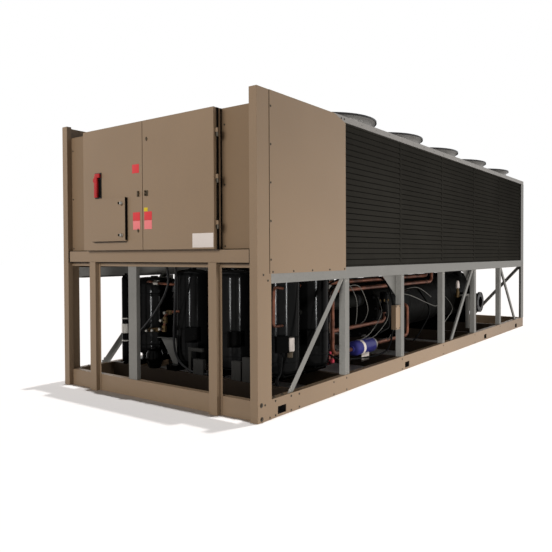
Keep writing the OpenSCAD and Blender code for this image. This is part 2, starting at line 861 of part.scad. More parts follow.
module side_braces() {
    lead = brace_w + coil_gap / 2 + brace_run;
    color(galvanised) from_front() both_sides() {
        side_brace(side_post_s(0) - lead, brace_run);
        side_brace(side_post_s(module_n - 2) - lead, brace_run);
        side_brace(side_post_s(module_n - 1) + side_post_w + coil_gap / 2 + brace_run, -brace_run);
    }
}

module rear_braces() {
    brace_s = rear_plate_s - galv_t - brace_t;
    reach = rail_x - brace_w - rear_brace_run - rear_brace_end;
    color(galvanised) from_front() both_sides() {
        along_y(brace_s, brace_t) brace(reach, rear_brace_run);
        along_y(brace_s - brace_leg, brace_leg + brace_t) brace_edge(reach, rear_brace_run);
    }
}

module gussets() {
    color(galvanised) from_front() both_sides() for (k = [1, module_n - 2])
        along_x(side_post_x - side_post_d, galv_t) polygon([
            [side_post_s(k), mid_z], [side_post_s(k) - gusset_l, mid_z],
            [side_post_s(k), mid_z - gusset_h]]);
}

// Coils

louvre_pitch = (coil_h - 2 * coil_frame) / louvre_n;
louvre_in = coil_x - louvre_out;

// Section of a coil panel: the fin block at the back, with sloping louvres down its front
module louvre_section() {
    louvres = [for (i = [0 : louvre_n - 1]) let (top = coil_top - coil_frame - i * louvre_pitch)
        each [[louvre_in, top], [coil_x, top - louvre_pitch + louvre_slot],
            [louvre_in - louvre_deep, top - louvre_pitch + louvre_slot],
            [louvre_in - louvre_deep, top - louvre_pitch]]];
    polygon(concat([[coil_in, mid_top_z], [coil_in, coil_top], [coil_x, coil_top],
        [coil_x, coil_top - coil_frame]], louvres,
        [[coil_x, mid_top_z + coil_frame], [coil_x, mid_top_z]]));
}

module coil_panels() {
    panel_l = module_l - coil_gap;
    for (k = [0 : module_n - 1]) {
        start = front_bay + k * module_l + coil_gap / 2;
        along_y(start, panel_l) louvre_section();
        for (s = [start, start + panel_l - coil_frame])
            translate([coil_in, s, mid_top_z]) cube([coil_d, coil_frame, coil_h]);
    }
}

module right_coil_panels() {
    color(charcoal) from_front() coil_panels();
}

module left_coil_panels() {
    color(charcoal) from_front() mirror([1, 0, 0]) coil_panels();
}

module front_bulkhead() {
    color(galvanised) from_front()
        translate([-coil_x, bulk_s, mid_top_z]) cube([2 * coil_x, sheet_t, coil_h]);
}

module rear_panel() {
    color(galvanised) from_front()
        translate([-coil_x, rear_panel_s, mid_top_z]) cube([2 * coil_x, sheet_t, coil_h]);
}

module plenum_floor() {
    side = coil_in - coil_gap;
    color(galvanised) from_front() translate([-side, front_bay, mid_top_z])
        cube([2 * side, rear_panel_s - front_bay, sheet_t]);
}

// Fans

module each_fan(z) {
    for (side = [-1, 1], k = [0 : module_n - 1])
        translate([side * fan_x, fan_s(k), z]) children();
}

module fan_deck() {
    color(galvanised) from_front() for (k = [0 : module_n - 1]) {
        first = front_bay + k * module_l - (k == 0 ? deck_front : -deck_joint / 2);
        last = k == module_n - 1 ? frame_l : front_bay + (k + 1) * module_l - deck_joint / 2;
        translate([0, 0, deck_z]) linear_extrude(deck_t) difference() {
            translate([-deck_x, first]) square([2 * deck_x, last - first]);
            for (side = [-1, 1]) translate([side * fan_x, fan_s(k)]) circle(fan_r);
        }
        both_sides() {
            translate([deck_x - galv_t, first, coil_top]) cube([galv_t, last - first, deck_edge]);
            translate([coil_in, first, coil_top]) cube([deck_x - coil_in, last - first, galv_t]);
        }
    }
}

// Flared ring with a flat foot on the deck and a thick rim at its mouth
module ring_section() {
    polygon([[fan_r, 0], [fan_r + ring_foot, 0], [fan_r + ring_foot, ring_t], [fan_r + ring_t, ring_t],
        [fan_r + ring_t, ring_h * 0.45], [fan_r + (mouth_r - fan_r) * 0.35 + ring_t, ring_h * 0.75],
        [mouth_r - ring_t, ring_h * 0.92], [mouth_r + ring_t, ring_h * 0.92], [mouth_r + ring_t, ring_h],
        [mouth_r - 2 * ring_t, ring_h], [fan_r + (mouth_r - fan_r) * 0.35, ring_h * 0.75],
        [fan_r, ring_h * 0.45]]);
}

module fan_rings() {
    color(galvanised) from_front() each_fan(deck_top) rotate_extrude() ring_section();
}

module fan_guards() {
    color(charcoal) from_front() each_fan(guard_z) linear_extrude(guard_bar) {
        circle(guard_plate_r);
        for (i = [1 : guard_rings]) difference() {
            circle(guard_plate_r + i * (mouth_r - guard_plate_r) / guard_rings);
            circle(guard_plate_r + i * (mouth_r - guard_plate_r) / guard_rings - guard_bar);
        }
        for (i = [0 : guard_spokes - 1]) rotate(i * 360 / guard_spokes)
            translate([0, -guard_bar / 2]) square([mouth_r - guard_bar / 2, guard_bar]);
    }
}

module fan_rotors() {
    color(black_paint) from_front() each_fan(deck_top + hub_gap) {
        cylinder(r = hub_r, h = hub_h);
        for (i = [0 : blade_n - 1]) rotate(i * 360 / blade_n)
            translate([0, 0, hub_h / 2]) rotate([blade_pitch, 0, 0])
                translate([0, 0, -blade_t / 2]) linear_extrude(blade_t) polygon([
                    [hub_r / 2, -blade_root / 2], [tip_r, -blade_tip / 2],
                    [tip_r, blade_tip / 2], [hub_r / 2, blade_root / 2]]);
    }
}

module fan_motors() {
    color(black_paint) from_front() each_fan(deck_z - bar_t) {
        translate([0, 0, -motor_h]) cylinder(r = motor_r, h = motor_h);
        translate([0, 0, -motor_flange_t]) cylinder(r = motor_flange_r, h = motor_flange_t);
        cylinder(r = shaft_r, h = bar_t + deck_t + hub_gap);
    }
}

module motor_bars() {
    bar_l = 2 * (fan_r + bar_seat);
    color(galvanised) from_front() each_fan(deck_z - bar_t) for (side = [-1, 1])
        translate([-bar_l / 2, side * bar_off - bar_w / 2, 0]) cube([bar_l, bar_w, bar_t]);
}

// Machinery

comp_columns = [comp_x - comp_pitch, comp_x, comp_x + comp_pitch];
comp_rows = [comp_s, comp_s + row_pitch];
// Middle of the space between two compressor columns, where the main pipes run
main_x = comp_x + comp_pitch / 2;

module compressor_bearers() {
    color(black_paint) from_front() for (x = concat(comp_columns, [-receiver_x]))
        translate([x - bearer_w / 2, first_cross, rail_h]) cube([bearer_w, bearer_l, bearer_h]);
}

// Welded shell with a dished base and a domed top
module vessel(r, h) {
    rotate_extrude() polygon([[0, 0], [r * 0.85, 0], [r, r * 0.25], [r, h - r * 0.6],
        [r * 0.9, h - r * 0.32], [r * 0.62, h - r * 0.1], [r * 0.25, h], [0, h]]);
}

module compressors() {
    color(black_paint) from_front() for (x = comp_columns, s = comp_rows) translate([x, s, bearer_z]) {
        translate([-comp_foot / 2, -comp_foot / 2, 0]) cube([comp_foot, comp_foot, steel_t]);
        vessel(comp_r, comp_h);
        rotate(-term_turn) translate([0, -term_w / 2, term_rise]) cube([comp_r + term_d, term_w, term_h]);
    }
}

module receiver() {
    color(black_paint) from_front() translate([-receiver_x, comp_s, bearer_z])
        vessel(receiver_r, receiver_h);
}

module accumulator() {
    color(black_paint) from_front() translate([-accum_x, seat_s, rail_h]) vessel(accum_r, accum_h);
}

// Point at t on the smooth curve from b to c, between its neighbours a and d
function on_curve(a, b, c, d, t) = 0.5 * (2 * b + (c - a) * t + (2 * a - 5 * b + 4 * c - d) * t * t
    + (3 * b - a - 3 * c + d) * t * t * t);

// Smooth path through a route, with n steps between its points
function smooth(route, n) = let (last = len(route) - 1) concat(
    [for (i = [0 : last - 1], k = [0 : n - 1]) on_curve(route[max(i - 1, 0)], route[i], route[i + 1],
        route[min(i + 2, last)], k / n)], [route[last]]);

// Round tube along a path that never runs straight along the unit
module tube(path, r, sides) {
    n = len(path);
    rings = [for (i = [0 : n - 1]) let (
        way = path[min(i + 1, n - 1)] - path[max(i - 1, 0)],
        across = cross(way, [0, 1, 0]) / norm(cross(way, [0, 1, 0])),
        up = cross(across, way / norm(way)))
        for (k = [0 : sides - 1])
            path[i] + r * (cos(360 * k / sides) * across + sin(360 * k / sides) * up)];
    walls = [for (i = [0 : n - 2], k = [0 : sides - 1]) let (next = (k + 1) % sides)
        each [[i * sides + k, i * sides + next, (i + 1) * sides + next],
            [i * sides + k, (i + 1) * sides + next, (i + 1) * sides + k]]];
    ends = [[for (k = [sides - 1 : -1 : 0]) k], [for (k = [0 : sides - 1]) (n - 1) * sides + k]];
    polyhedron(rings, concat(walls, ends));
}

module conduits() {
    color("dimgray") from_front() for (route = [sensor_route, power_route])
        tube(smooth(route, 4), conduit_r, 8);
}

module evaporator() {
    color(black_paint) from_front() translate([evap_x, evap_s, evap_z]) rotate([-90, 0, 0]) {
        cylinder(r = evap_r, h = evap_l);
        for (s = [0, evap_l - head_t]) translate([0, 0, s]) cylinder(r = head_r, h = head_t);
    }
}

module evaporator_saddles() {
    color(black_paint) from_front() for (s = evap_seats) difference() {
        translate([evap_x - saddle_w / 2, s, rail_h]) cube([saddle_w, saddle_t, evap_z - rail_h]);
        translate([evap_x, s - cut, evap_z]) rotate([-90, 0, 0])
            cylinder(r = evap_r, h = saddle_t + 2 * cut);
    }
}

// Flanged water pipe from the shell to a face at the side of the unit
module nozzle(s, z, side) {
    reach = nozzle_x - side * evap_x;
    difference() {
        translate([evap_x, s, z]) rotate([0, 90 * side, 0]) {
            cylinder(r = nozzle_r, h = reach);
            translate([0, 0, reach - flange_t]) cylinder(r = flange_r, h = flange_t);
        }
        translate([side * nozzle_x, s, z]) rotate([0, 90 * side, 0]) {
            translate([0, 0, -nozzle_depth]) cylinder(r = nozzle_bore, h = nozzle_depth + cut);
            for (i = [0 : flange_hole_n - 1]) rotate((i + 0.5) * 360 / flange_hole_n)
                translate([flange_pcd / 2, 0, -flange_t - cut])
                    cylinder(d = flange_hole_d, h = flange_t + 2 * cut);
        }
        translate([evap_x, s - 2 * nozzle_r, evap_z]) rotate([-90, 0, 0])
            cylinder(r = evap_r, h = 4 * nozzle_r);
    }
}

module water_nozzles() {
    color(black_paint) from_front() {
        nozzle(evap_end - outlet_place, evap_z - nozzle_drop, 1);
        nozzle(evap_s + inlet_place, evap_z - nozzle_drop, -1);
    }
}

// Room of the compressors' shells, where the pipes between them end
module shell_room() {
    for (x = comp_columns, s = comp_rows) translate([x, s, bearer_z]) cylinder(r = comp_r, h = comp_h);
}

// Pipes from the shells of both rows to a header between them
module between_rows(z, header, stub) {
    pipe([comp_columns[0], header_s, z], [comp_columns[2], header_s, z], header);
    for (x = comp_columns) pipe([x, comp_rows[0], z], [x, comp_rows[1], z], stub);
}

module suction_pipes() {
    color(black_paint) from_front() difference() {
        union() {
            between_rows(suction_z, suction_r, stub_r);
            pipe([main_x, header_s, suction_z], [main_x, evap_s, suction_z], main_r);
        }
        shell_room();
    }
}

module copper_pipes() {
    wall_x = [evap_x + evap_r, evap_x - evap_r];
    entry_s = evap_s + head_t + 2 * copper_r;
    turn_s = front_bay + gas_turn;
    far_s = front_bay + gas_end;
    far_z = mid_top_z - conduit_gap;
    color(copper_tone) from_front() {
        difference() {
            between_rows(gas_z, copper_r, copper_r * 0.8);
            shell_room();
        }
        pipe_run([[main_x, header_s, gas_z], [main_x, turn_s, gas_z], [gas_x, turn_s, gas_z],
            [gas_x, far_s, gas_z], [gas_x, far_s, far_z]], copper_r);
        for (i = [0, 1]) {
            x = (i == 0 ? 1 : -1) * liquid_x;
            start = front_bay + drier_s;
            riser = front_bay + riser_s;
            outlet = front_bay + outlet_s;
            pipe_run([[x, start, drier_z], [x, riser, drier_z], [x, riser, liquid_z],
                [x, far_s, liquid_z], [x, far_s, far_z]], copper_r);
            pipe_run([[x, riser, branch_z], [x, entry_s, branch_z], [x, entry_s, evap_z],
                [wall_x[i], entry_s, evap_z]], copper_r);
            pipe_run([[x, start + drier_l, drier_z], [x, outlet, drier_z], [x, outlet, evap_z],
                [wall_x[i], outlet, evap_z]], copper_r);
        }
    }
}

module filter_driers() {
    color("navy") from_front() for (side = [-1, 1])
        translate([side * liquid_x, front_bay + drier_s, drier_z]) rotate([-90, 0, 0])
            cylinder(r = drier_r, h = drier_l);
}

module junction_box() {
    color(tan_paint) from_front()
        translate([side_post_x - side_post_d, side_post_s(1) - junction_w, junction_z])
            cube([junction_d, junction_w, junction_h]);
}

side_rails();
front_base_beam();
rear_base_beam();
cross_members();
front_posts();
front_legs();
panel_beam();
panel_sill();
panel_rear_beam();
centre_post();
infill_panels();
side_panels();
control_box();
mounting_plate();
door_hinges();
left_door();
right_door();
left_door_latches();
right_door_latches();
access_flap();
switch_plate();
switch_lever();
mid_rails();
rear_mid_rail();
side_posts();
rear_posts();
side_braces();
rear_braces();
gussets();
right_coil_panels();
left_coil_panels();
front_bulkhead();
rear_panel();
plenum_floor();
fan_deck();
fan_rings();
fan_guards();
fan_rotors();
fan_motors();
motor_bars();
compressor_bearers();
compressors();
receiver();
accumulator();
conduits();
evaporator();
evaporator_saddles();
water_nozzles();
suction_pipes();
copper_pipes();
filter_driers();
junction_box();
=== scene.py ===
import json
import math

import bmesh
import bpy
from mathutils import Matrix, Vector

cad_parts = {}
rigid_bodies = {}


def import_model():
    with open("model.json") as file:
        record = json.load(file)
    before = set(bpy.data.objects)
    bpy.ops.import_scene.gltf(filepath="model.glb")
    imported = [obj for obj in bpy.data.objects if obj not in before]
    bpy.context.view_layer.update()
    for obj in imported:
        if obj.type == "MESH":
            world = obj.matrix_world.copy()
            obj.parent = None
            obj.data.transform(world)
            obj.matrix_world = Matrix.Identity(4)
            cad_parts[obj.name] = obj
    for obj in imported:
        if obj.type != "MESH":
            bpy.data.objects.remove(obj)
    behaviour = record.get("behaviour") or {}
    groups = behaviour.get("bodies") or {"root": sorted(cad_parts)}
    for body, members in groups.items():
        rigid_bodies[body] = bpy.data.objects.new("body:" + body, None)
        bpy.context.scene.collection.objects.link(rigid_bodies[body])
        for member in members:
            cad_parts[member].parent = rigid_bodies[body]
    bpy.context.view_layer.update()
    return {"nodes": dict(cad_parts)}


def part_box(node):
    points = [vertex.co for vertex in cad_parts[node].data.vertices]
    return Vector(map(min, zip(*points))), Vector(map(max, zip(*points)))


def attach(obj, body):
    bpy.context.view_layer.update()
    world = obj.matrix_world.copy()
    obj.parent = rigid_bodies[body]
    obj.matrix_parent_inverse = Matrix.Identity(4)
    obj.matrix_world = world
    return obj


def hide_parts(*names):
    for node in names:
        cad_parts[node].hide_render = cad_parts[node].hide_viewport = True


# An air cooled water chiller, dressed in the order in which it is put together: base, front end, control
# panel, upper frame, coils, fans, machinery. Metres, +Z up; the control panel faces -Y.
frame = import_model()

# Camera: on a stand in front of the right-hand corner, a little below the middle of the doors.
# Its place and lens come from the straight edges of the unit in the photograph.
photo_px = 552
focal_px = 598.6
centre_px = (275.3, 265.8)
eye = Vector((3.661, -6.665, 1.167))
heading, dip, roll = (math.radians(a) for a in (36.52, 1.03, -0.27))
lens = bpy.data.cameras.new("camera")
lens.sensor_width = 36.0
lens.lens = lens.sensor_width * focal_px / photo_px
lens.shift_x = 0.5 - centre_px[0] / photo_px
lens.shift_y = centre_px[1] / photo_px - 0.5
camera = bpy.data.objects.new("camera", lens)
in_scene = bpy.context.scene.collection.objects
in_scene.link(camera)
camera.matrix_world = (Matrix.Translation(eye) @ Matrix.Rotation(heading, 4, "Z")
                       @ Matrix.Rotation(math.pi / 2 - dip, 4, "X") @ Matrix.Rotation(roll, 4, "Z"))
bpy.context.scene.camera = camera


# Studio: a white room with even light, broad lamps on all sides, and small ones for shells, frame and fans.
# The floor has suns of its own, so it is white in the open and dark under the unit.
# A black flag over the open top of the front compartment keeps lamp light out of the bay below.
class Shade:
    """A socket in a node tree. Sums and products of it add Math nodes to that tree."""

    def __init__(self, tree, socket=None):
        self.tree = tree
        self.socket = socket

    def into(self, node, sockets):
        for name, value in sockets.items():
            for part in value if isinstance(value, list) else [value]:
                if isinstance(part, Shade):
                    self.tree.links.new(part.socket, node.inputs[name])
                else:
                    node.inputs[name].default_value = part

    def node(self, kind, settings=None, sockets=None, out=0):
        made = self.tree.nodes.new(kind)
        for name, value in (settings or {}).items():
            setattr(made, name, value)
        self.into(made, sockets or {})
        return Shade(self.tree, made.outputs[out])

    def math(self, operation, a, b):
        return self.node("ShaderNodeMath", {"operation": operation}, {0: a, 1: b})

    def __add__(self, other):
        return self.math("ADD", self, other)

    def __sub__(self, other):
        return self.math("SUBTRACT", self, other)

    def __rsub__(self, other):
        return self.math("SUBTRACT", other, self)

    def __mul__(self, other):
        return self.math("MULTIPLY", self, other)

    def __truediv__(self, other):
        return self.math("DIVIDE", self, other)

    def __rtruediv__(self, other):
        return self.math("DIVIDE", other, self)

    __radd__ = __add__
    __rmul__ = __mul__

    def between(self, low, high):
        return self.node("ShaderNodeMapRange", None, {"Value": self, "From Min": low, "From Max": high})

    def blend(self, first, second):
        return self.node("ShaderNodeMix", {"data_type": "RGBA"}, {0: self, 6: first, 7: second}, out=2)


def seen_by(tree, first, *others):
    """One for a ray of these kinds, and nothing for any other."""
    seen = Shade(tree).node("ShaderNodeLightPath", out="Is %s Ray" % first)
    rays = seen.socket.node.outputs
    for kind in others:
        seen = seen.math("MAXIMUM", seen, Shade(tree, rays["Is %s Ray" % kind]))
    return seen


room_light = 0.11
room = bpy.data.worlds.new("white_room")
bpy.context.scene.world = room
room.use_nodes = True
seen = seen_by(room.node_tree, "Camera", "Glossy", "Transmission")
seen.into(room.node_tree.nodes["Background"], {
    "Color": (1.0, 1.0, 1.0, 1.0), "Strength": seen * (1 - room_light) + room_light})


def stage_sheet(name, low, high, z, finish):
    """A level sheet of the studio, which is no part of the unit."""
    mesh = bpy.data.meshes.new(name)
    corners = [(low[0], low[1], z), (high[0], low[1], z), (high[0], high[1], z), (low[0], high[1], z)]
    mesh.from_pydata(corners, [], [(0, 1, 2, 3)])
    sheet = bpy.data.objects.new(name, mesh)
    in_scene.link(sheet)
    made = bpy.data.materials.new(finish)
    made.use_nodes = True
    mesh.materials.append(made)
    return sheet, made.node_tree.nodes["Principled BSDF"]


floor_half = 70.0
floor, shader = stage_sheet("floor", (-floor_half, -floor_half), (floor_half, floor_half), 0.0, "pale_floor")
seen = seen_by(shader.id_data, "Camera", "Glossy")
seen.into(shader, {"Base Color": seen.blend((0.2, 0.195, 0.19, 1.0), (0.93, 0.9, 0.885, 1.0)),
                   "Roughness": 1.0, "Specular IOR Level": 0.0})
flag, shader = stage_sheet("lamp_flag", (-1.05, -3.1), (1.05, -2.4), 2.3, "flag_cloth")
shader.inputs["Base Color"].default_value = (0.01, 0.01, 0.01, 1.0)
flag.visible_camera = flag.visible_glossy = flag.visible_transmission = False

lit_floor, barn_doors, shiny_shells, bay_frame, fan_row = (
    bpy.data.collections.new(name)
    for name in ("lit_floor", "kept_in_shade", "shiny_shells", "bay_frame", "fan_row"))
middle, shell_spot, narrow = (0.0, 0.0, 0.0), (0.1, -2.5, 0.7), (0.06, 0.9)
for name, kind, place, target, power, size, falls_on in (
        ("floor_sun_back", "SUN", (0.5, 1.35, 9.0), middle, 1.4, (1.2, 1.2), lit_floor),
        ("floor_sun_above", "SUN", (0.0, 0.05, 9.0), middle, 1.85, (1.2, 1.2), lit_floor),
        ("side_lamp", "AREA", (4.7, -0.6, 0.3), (1.0, -0.6, 0.4), 255.0, (8.0, 0.6), barn_doors),
        ("front_lamp", "AREA", (-1.0, -11.5, 4.5), (0.0, -3.4, 1.4), 630.0, (5.0, 3.0), barn_doors),
        ("left_lamp", "AREA", (-7.5, 0.5, 2.4), (-1.0, 0.0, 1.2), 370.0, (7.0, 2.0), barn_doors),
        ("rear_lamp", "AREA", (0.5, 9.5, 3.2), (0.0, 3.5, 1.2), 280.0, (4.0, 2.0), barn_doors),
        ("strip_lamp_0", "AREA", (1.9, -7.6, 0.5), shell_spot, 150.0, narrow, shiny_shells),
        ("strip_lamp_1", "AREA", (5.6, -4.1, 0.5), shell_spot, 150.0, narrow, shiny_shells),
        ("frame_lamp", "AREA", (2.4, -8.0, 0.35), (0.4, -1.0, 0.8), 880.0, (1.5, 0.5), bay_frame),
        ("ring_lamp", "AREA", (7.0, -1.4, 0.1), (0.55, -0.5, 2.4), 1200.0, (0.5, 0.8), fan_row)):
    light = bpy.data.lights.new(name, kind)
    light.energy = power
    if kind == "AREA":
        light.shape = "RECTANGLE"
        light.size, light.size_y = size
    else:
        light.angle = math.radians(size[0])
    lamp = bpy.data.objects.new(name, light)
    in_scene.link(lamp)
    aim = (Vector(target) - Vector(place)).to_track_quat("-Z", "Y")
    lamp.matrix_world = Matrix.Translation(place) @ aim.to_matrix().to_4x4()
    lamp.visible_camera = False
    lamp.visible_glossy = kind == "AREA" and size[0] < 1.0
    lamp.light_linking.receiver_collection = falls_on


def dim(piece):
    """Keeps the broad lamps off a piece, as barn doors do; the room still lights it."""
    barn_doors.objects.link(piece)
    barn_doors.collection_objects[-1].light_linking.link_state = "EXCLUDE"


lit_floor.objects.link(floor)
dim(floor)

# Base frame: pressed steel channels, bolted at the corners and painted tan with the rest of the unit.
# The long rails carry lifting slots lined with black boxes, painted shade for the dark insides of the rails,
# and plates close their rear ends.
front_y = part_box("front_posts")[0].y


def at(x, s, z):
    """A point given by its distance behind the front faces of the corner posts."""
    return Vector((x, s + front_y, z))


def srgb(red, green, blue):
    """A colour as it looks, 0 to 255, as the light that a shader works with."""
    parts = [value / 255 for value in (red, green, blue)]
    return tuple(p / 12.92 if p <= 0.04045 else ((p + 0.055) / 1.055) ** 2.4 for p in parts) + (1.0,)


def tint(colour, share):
    return tuple(min(1.0, part * share) for part in colour[:3]) + (1.0,)


def new_finish(name):
    made = bpy.data.materials.new(name)
    made.use_nodes = True
    place = Shade(made.node_tree).node("ShaderNodeTexCoord", out="Object")
    return made, made.node_tree.nodes["Principled BSDF"], place


def noise(place, scale, detail=2.0):
    return place.node("ShaderNodeTexNoise", None, {"Vector": place, "Scale": scale, "Detail": detail})


def enamel(name, colour, roughness, spread=0.05, peel=0.0004, specular=0.3):
    """Stoved paint: a little uneven in tone, with the fine pebble of sprayed enamel and faint dust."""
    made, shader, place = new_finish(name)
    cloud = noise(place, 1.3, 3.0)
    speck = noise(place, 34.0, 3.0)
    pebble = noise(place, 420.0, 1.0)
    tone = (cloud * 0.7 + speck * 0.3).between(0.34, 0.66)
    bump = place.node("ShaderNodeBump", None, {"Strength": 0.3, "Distance": peel, "Height": pebble})
    place.into(shader, {
        "Base Color": tone.blend(tint(colour, 1 - spread), tint(colour, 1 + spread)),
        "Roughness": speck.between(0.25, 0.75) * 0.14 + (roughness - 0.07),
        "Normal": bump, "Specular IOR Level": specular})
    return made


def finished(piece, body, slot, *nodes):
    """Lets a piece ride on its body and stands it for its solids."""
    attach(piece, body)
    if nodes:
        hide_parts(*nodes)
    return piece


def shown(name, work, finish, crease):
    """Puts a finished mesh into the scene, smooth but for the creases sharper than this."""
    mesh = bpy.data.meshes.new(name)
    work.to_mesh(mesh)
    work.free()
    mesh.shade_smooth()
    mesh.set_sharp_from_angle(angle=math.radians(crease))
    mesh.materials.clear()
    mesh.materials.append(finish)
    piece = bpy.data.objects.new(name, mesh)
    in_scene.link(piece)
    return piece


def rounded(work, edges, radius):
    bmesh.ops.bevel(work, geom=edges, offset=radius, offset_type="OFFSET", segments=2, profile=0.6,
                    affect="EDGES", clamp_overlap=True)


def folded(node, edge, finish, body="root", slot="tan_paint", crease=35.0):
    """A sheet or plate piece with the small rounded edges that a folded and painted one has."""
    work = bmesh.new()
    work.from_mesh(frame["nodes"][node].data)
    bmesh.ops.remove_doubles(work, verts=work.verts, dist=1e-5)
    bmesh.ops.dissolve_limit(work, angle_limit=math.radians(1.0), verts=work.verts, edges=work.edges)
    rounded(work, [e for e in work.edges if e.is_manifold and e.calc_length() > 4 * edge
                   and e.calc_face_angle() > math.radians(25)], edge)
    piece = shown(node + "_sheet", work, finish, crease)
    piece.modifiers.new("flat_faces", "WEIGHTED_NORMAL").keep_sharp = True
    return finished(piece, body, slot, node)


def settle(name, work, finish, body="root", slot="zinc", replaces=(), crease=35.0):
    """Closes a mesh that was built here and puts it on its body."""
    bmesh.ops.recalc_face_normals(work, faces=work.faces)
    return finished(shown(name, work, finish, crease), body, slot, *replaces)


def block(work, corner, other, edge):
    """Adds a plate or box between two opposite corners, with rounded edges."""
    corner, other = Vector(corner), Vector(other)
    size = [abs(side) for side in other - corner]
    place = Matrix.Translation((corner + other) / 2) @ Matrix.Diagonal((*size, 1.0))
    made = bmesh.ops.create_cube(work, size=1.0, matrix=place)["verts"]
    rounded(work, list({e for v in made for e in v.link_edges}), min(edge, min(size) * 0.35))


def twins(work, corner, other, edge):
    """Adds a box on the right-hand side and its twin on the left."""
    for side in (1, -1):
        block(work, (side * corner[0], *corner[1:]), (side * other[0], *other[1:]), edge)


def new_tree(name, sizes):
    """An empty node tree for shapes, with one named input for each size and one for the finish."""
    tree = bpy.data.node_groups.new(name, "GeometryNodeTree")
    tree.interface.new_socket("Geometry", in_out="INPUT", socket_type="NodeSocketGeometry")
    for size, kind in dict(sizes, Finish="Material").items():
        tree.interface.new_socket(size, in_out="INPUT", socket_type="NodeSocket" + kind)
    tree.interface.new_socket("Geometry", in_out="OUTPUT", socket_type="NodeSocketGeometry")
    given = tree.nodes.new("NodeGroupInput")
    return {socket.name: Shade(tree, socket) for socket in given.outputs if socket.name}


def close_tree(given, shape):
    """Ends a tree: copies become real meshes and take their finish."""
    real = shape.node("GeometryNodeRealizeInstances", None, {"Geometry": shape})
    done = real.node("GeometryNodeSetMaterial", None, {"Geometry": real, "Material": given["Finish"]})
    done.into(shape.tree.nodes.new("NodeGroupOutput"), {"Geometry": done})
    return shape.tree


def grown(name, tree, start, sizes, finish, **settled):
    """Runs a tree on its starting points or lines, and keeps the outcome as a plain mesh."""
    seed = bpy.data.objects.new("seed", start)
    in_scene.link(seed)
    grow = seed.modifiers.new("grow", "NODES")
    grow.node_group = tree
    values = dict(sizes, Finish=finish)
    for socket in tree.interface.items_tree:
        if socket.in_out == "INPUT" and socket.name in values:
            grow[socket.identifier] = values[socket.name]
    done = seed.evaluated_get(bpy.context.evaluated_depsgraph_get())
    mesh = bpy.data.meshes.new_from_object(done)
    seed.modifiers.remove(grow)
    bpy.data.objects.remove(seed)
    work = bmesh.new()
    work.from_mesh(mesh)
    bpy.data.meshes.remove(mesh)
    return settle(name, work, finish, **settled)


def points(places, facing=()):
    """Loose points, each with the way that it faces where that is given."""
    mesh = bpy.data.meshes.new("points")
    mesh.from_pydata([tuple(p) for p in places], [], [])
    if facing:
        layer = mesh.attributes.new("facing", "FLOAT_VECTOR", "POINT")
        for mark, way in zip(layer.data, facing):
            mark.vector = way
    return mesh


given = new_tree("bolt_heads", {"Radius": "Float", "Height": "Float", "Sides": "Int"})
washer = given["Geometry"].node("GeometryNodeMeshCone", None, {
    "Vertices": 16, "Radius Top": given["Radius"] * 1.45, "Radius Bottom": given["Radius"] * 1.6,
    "Depth": given["Height"] * 0.22})
head = washer.node("GeometryNodeMeshCone", None, {
    "Vertices": given["Sides"], "Radius Top": given["Radius"] * 0.86, "Radius Bottom": given["Radius"],
    "Depth": given["Height"]})
bolt = head.node("GeometryNodeJoinGeometry", None, {"Geometry": [washer, head]})
facing = bolt.node("GeometryNodeInputNamedAttribute", {"data_type": "FLOAT_VECTOR"}, {"Name": "facing"})
turn = facing.node("FunctionNodeAlignRotationToVector", {"axis": "Z"}, {"Vector": facing})
heads_tree = close_tree(given, turn.node("GeometryNodeInstanceOnPoints", None, {
    "Points": given["Geometry"], "Instance": bolt, "Rotation": turn}))


def bolts(name, spots, radius, height, finish, sides=6):
    """Bolt or screw heads with washers, each spot given as a place and the way that it faces."""
    start = points([place for place, way in spots], [way for place, way in spots])
    return grown(name, heads_tree, start, {"Radius": radius, "Height": height, "Sides": sides}, finish)


tan = enamel("tan_enamel", srgb(135, 113, 90), 0.46, specular=0.42)
plate_edge, sheet_edge = 0.0016, 0.0012
for node in ("side_rails", "front_base_beam", "rear_base_beam"):
    folded(node, plate_edge, tan)
# The cross members get a darker brown as painted shade, for the shade inside the base frame.
dim(folded("cross_members", plate_edge, enamel("cross_member_painted_shade", srgb(74, 61, 48), 0.6, 0.1)))

right_way, front_way, rear_way, up_way = (
    Vector(way) for way in ((1, 0, 0), (0, -1, 0), (0, 1, 0), (0, 0, 1)))
post_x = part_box("front_posts")[1].x
rail_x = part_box("side_rails")[1].x
rail_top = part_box("side_rails")[1].z


def both(places, x, way=right_way):
    """Spots on the right-hand side and their twins on the left, from distances behind the front."""
    return [(at(side * x, s, z), Vector((side * way.x, way.y, way.z))) for side in (1, -1) for s, z in places]


# Bolt and screw heads get a dark paint as painted shade: the heads look dark in their own shade.
bolt_shade_paint = enamel("bolt_painted_shade", srgb(62, 54, 44), 0.42, 0.12)
module, round_head, screw_r, screw_h = 1.118, 8, 0.0055, 0.004
cross_s = [0.5] + [1.22 + module * k for k in range(5)]
rail_screws = [(0.211, 0.12), (0.211, 0.017), (0.408, 0.119), (0.407, 0.014), (1.023, 0.114), (1.023, 0.014)]
rail_screws += [(s + 0.014, z) for s in cross_s for z in (0.115, 0.016)]
corner_screws = [(0.082, 0.116), (0.137, 0.016), (0.07, 1.029), (0.122, 0.987)]
bolts("rail_screws", both(rail_screws, rail_x), screw_r, screw_h, bolt_shade_paint, round_head)
bolts("corner_bolts", both([(0.04, 0.122), (0.044, 0.024)], post_x), 0.011, 0.008, bolt_shade_paint)
bolts("corner_screws", both(corner_screws, post_x), screw_r, screw_h, bolt_shade_paint, round_head)
bolts("rail_top_bolts", both([(s, rail_top) for s in (0.232, 0.33, 6.62)], rail_x - 0.028, up_way),
      0.009, 0.007, bolt_shade_paint)

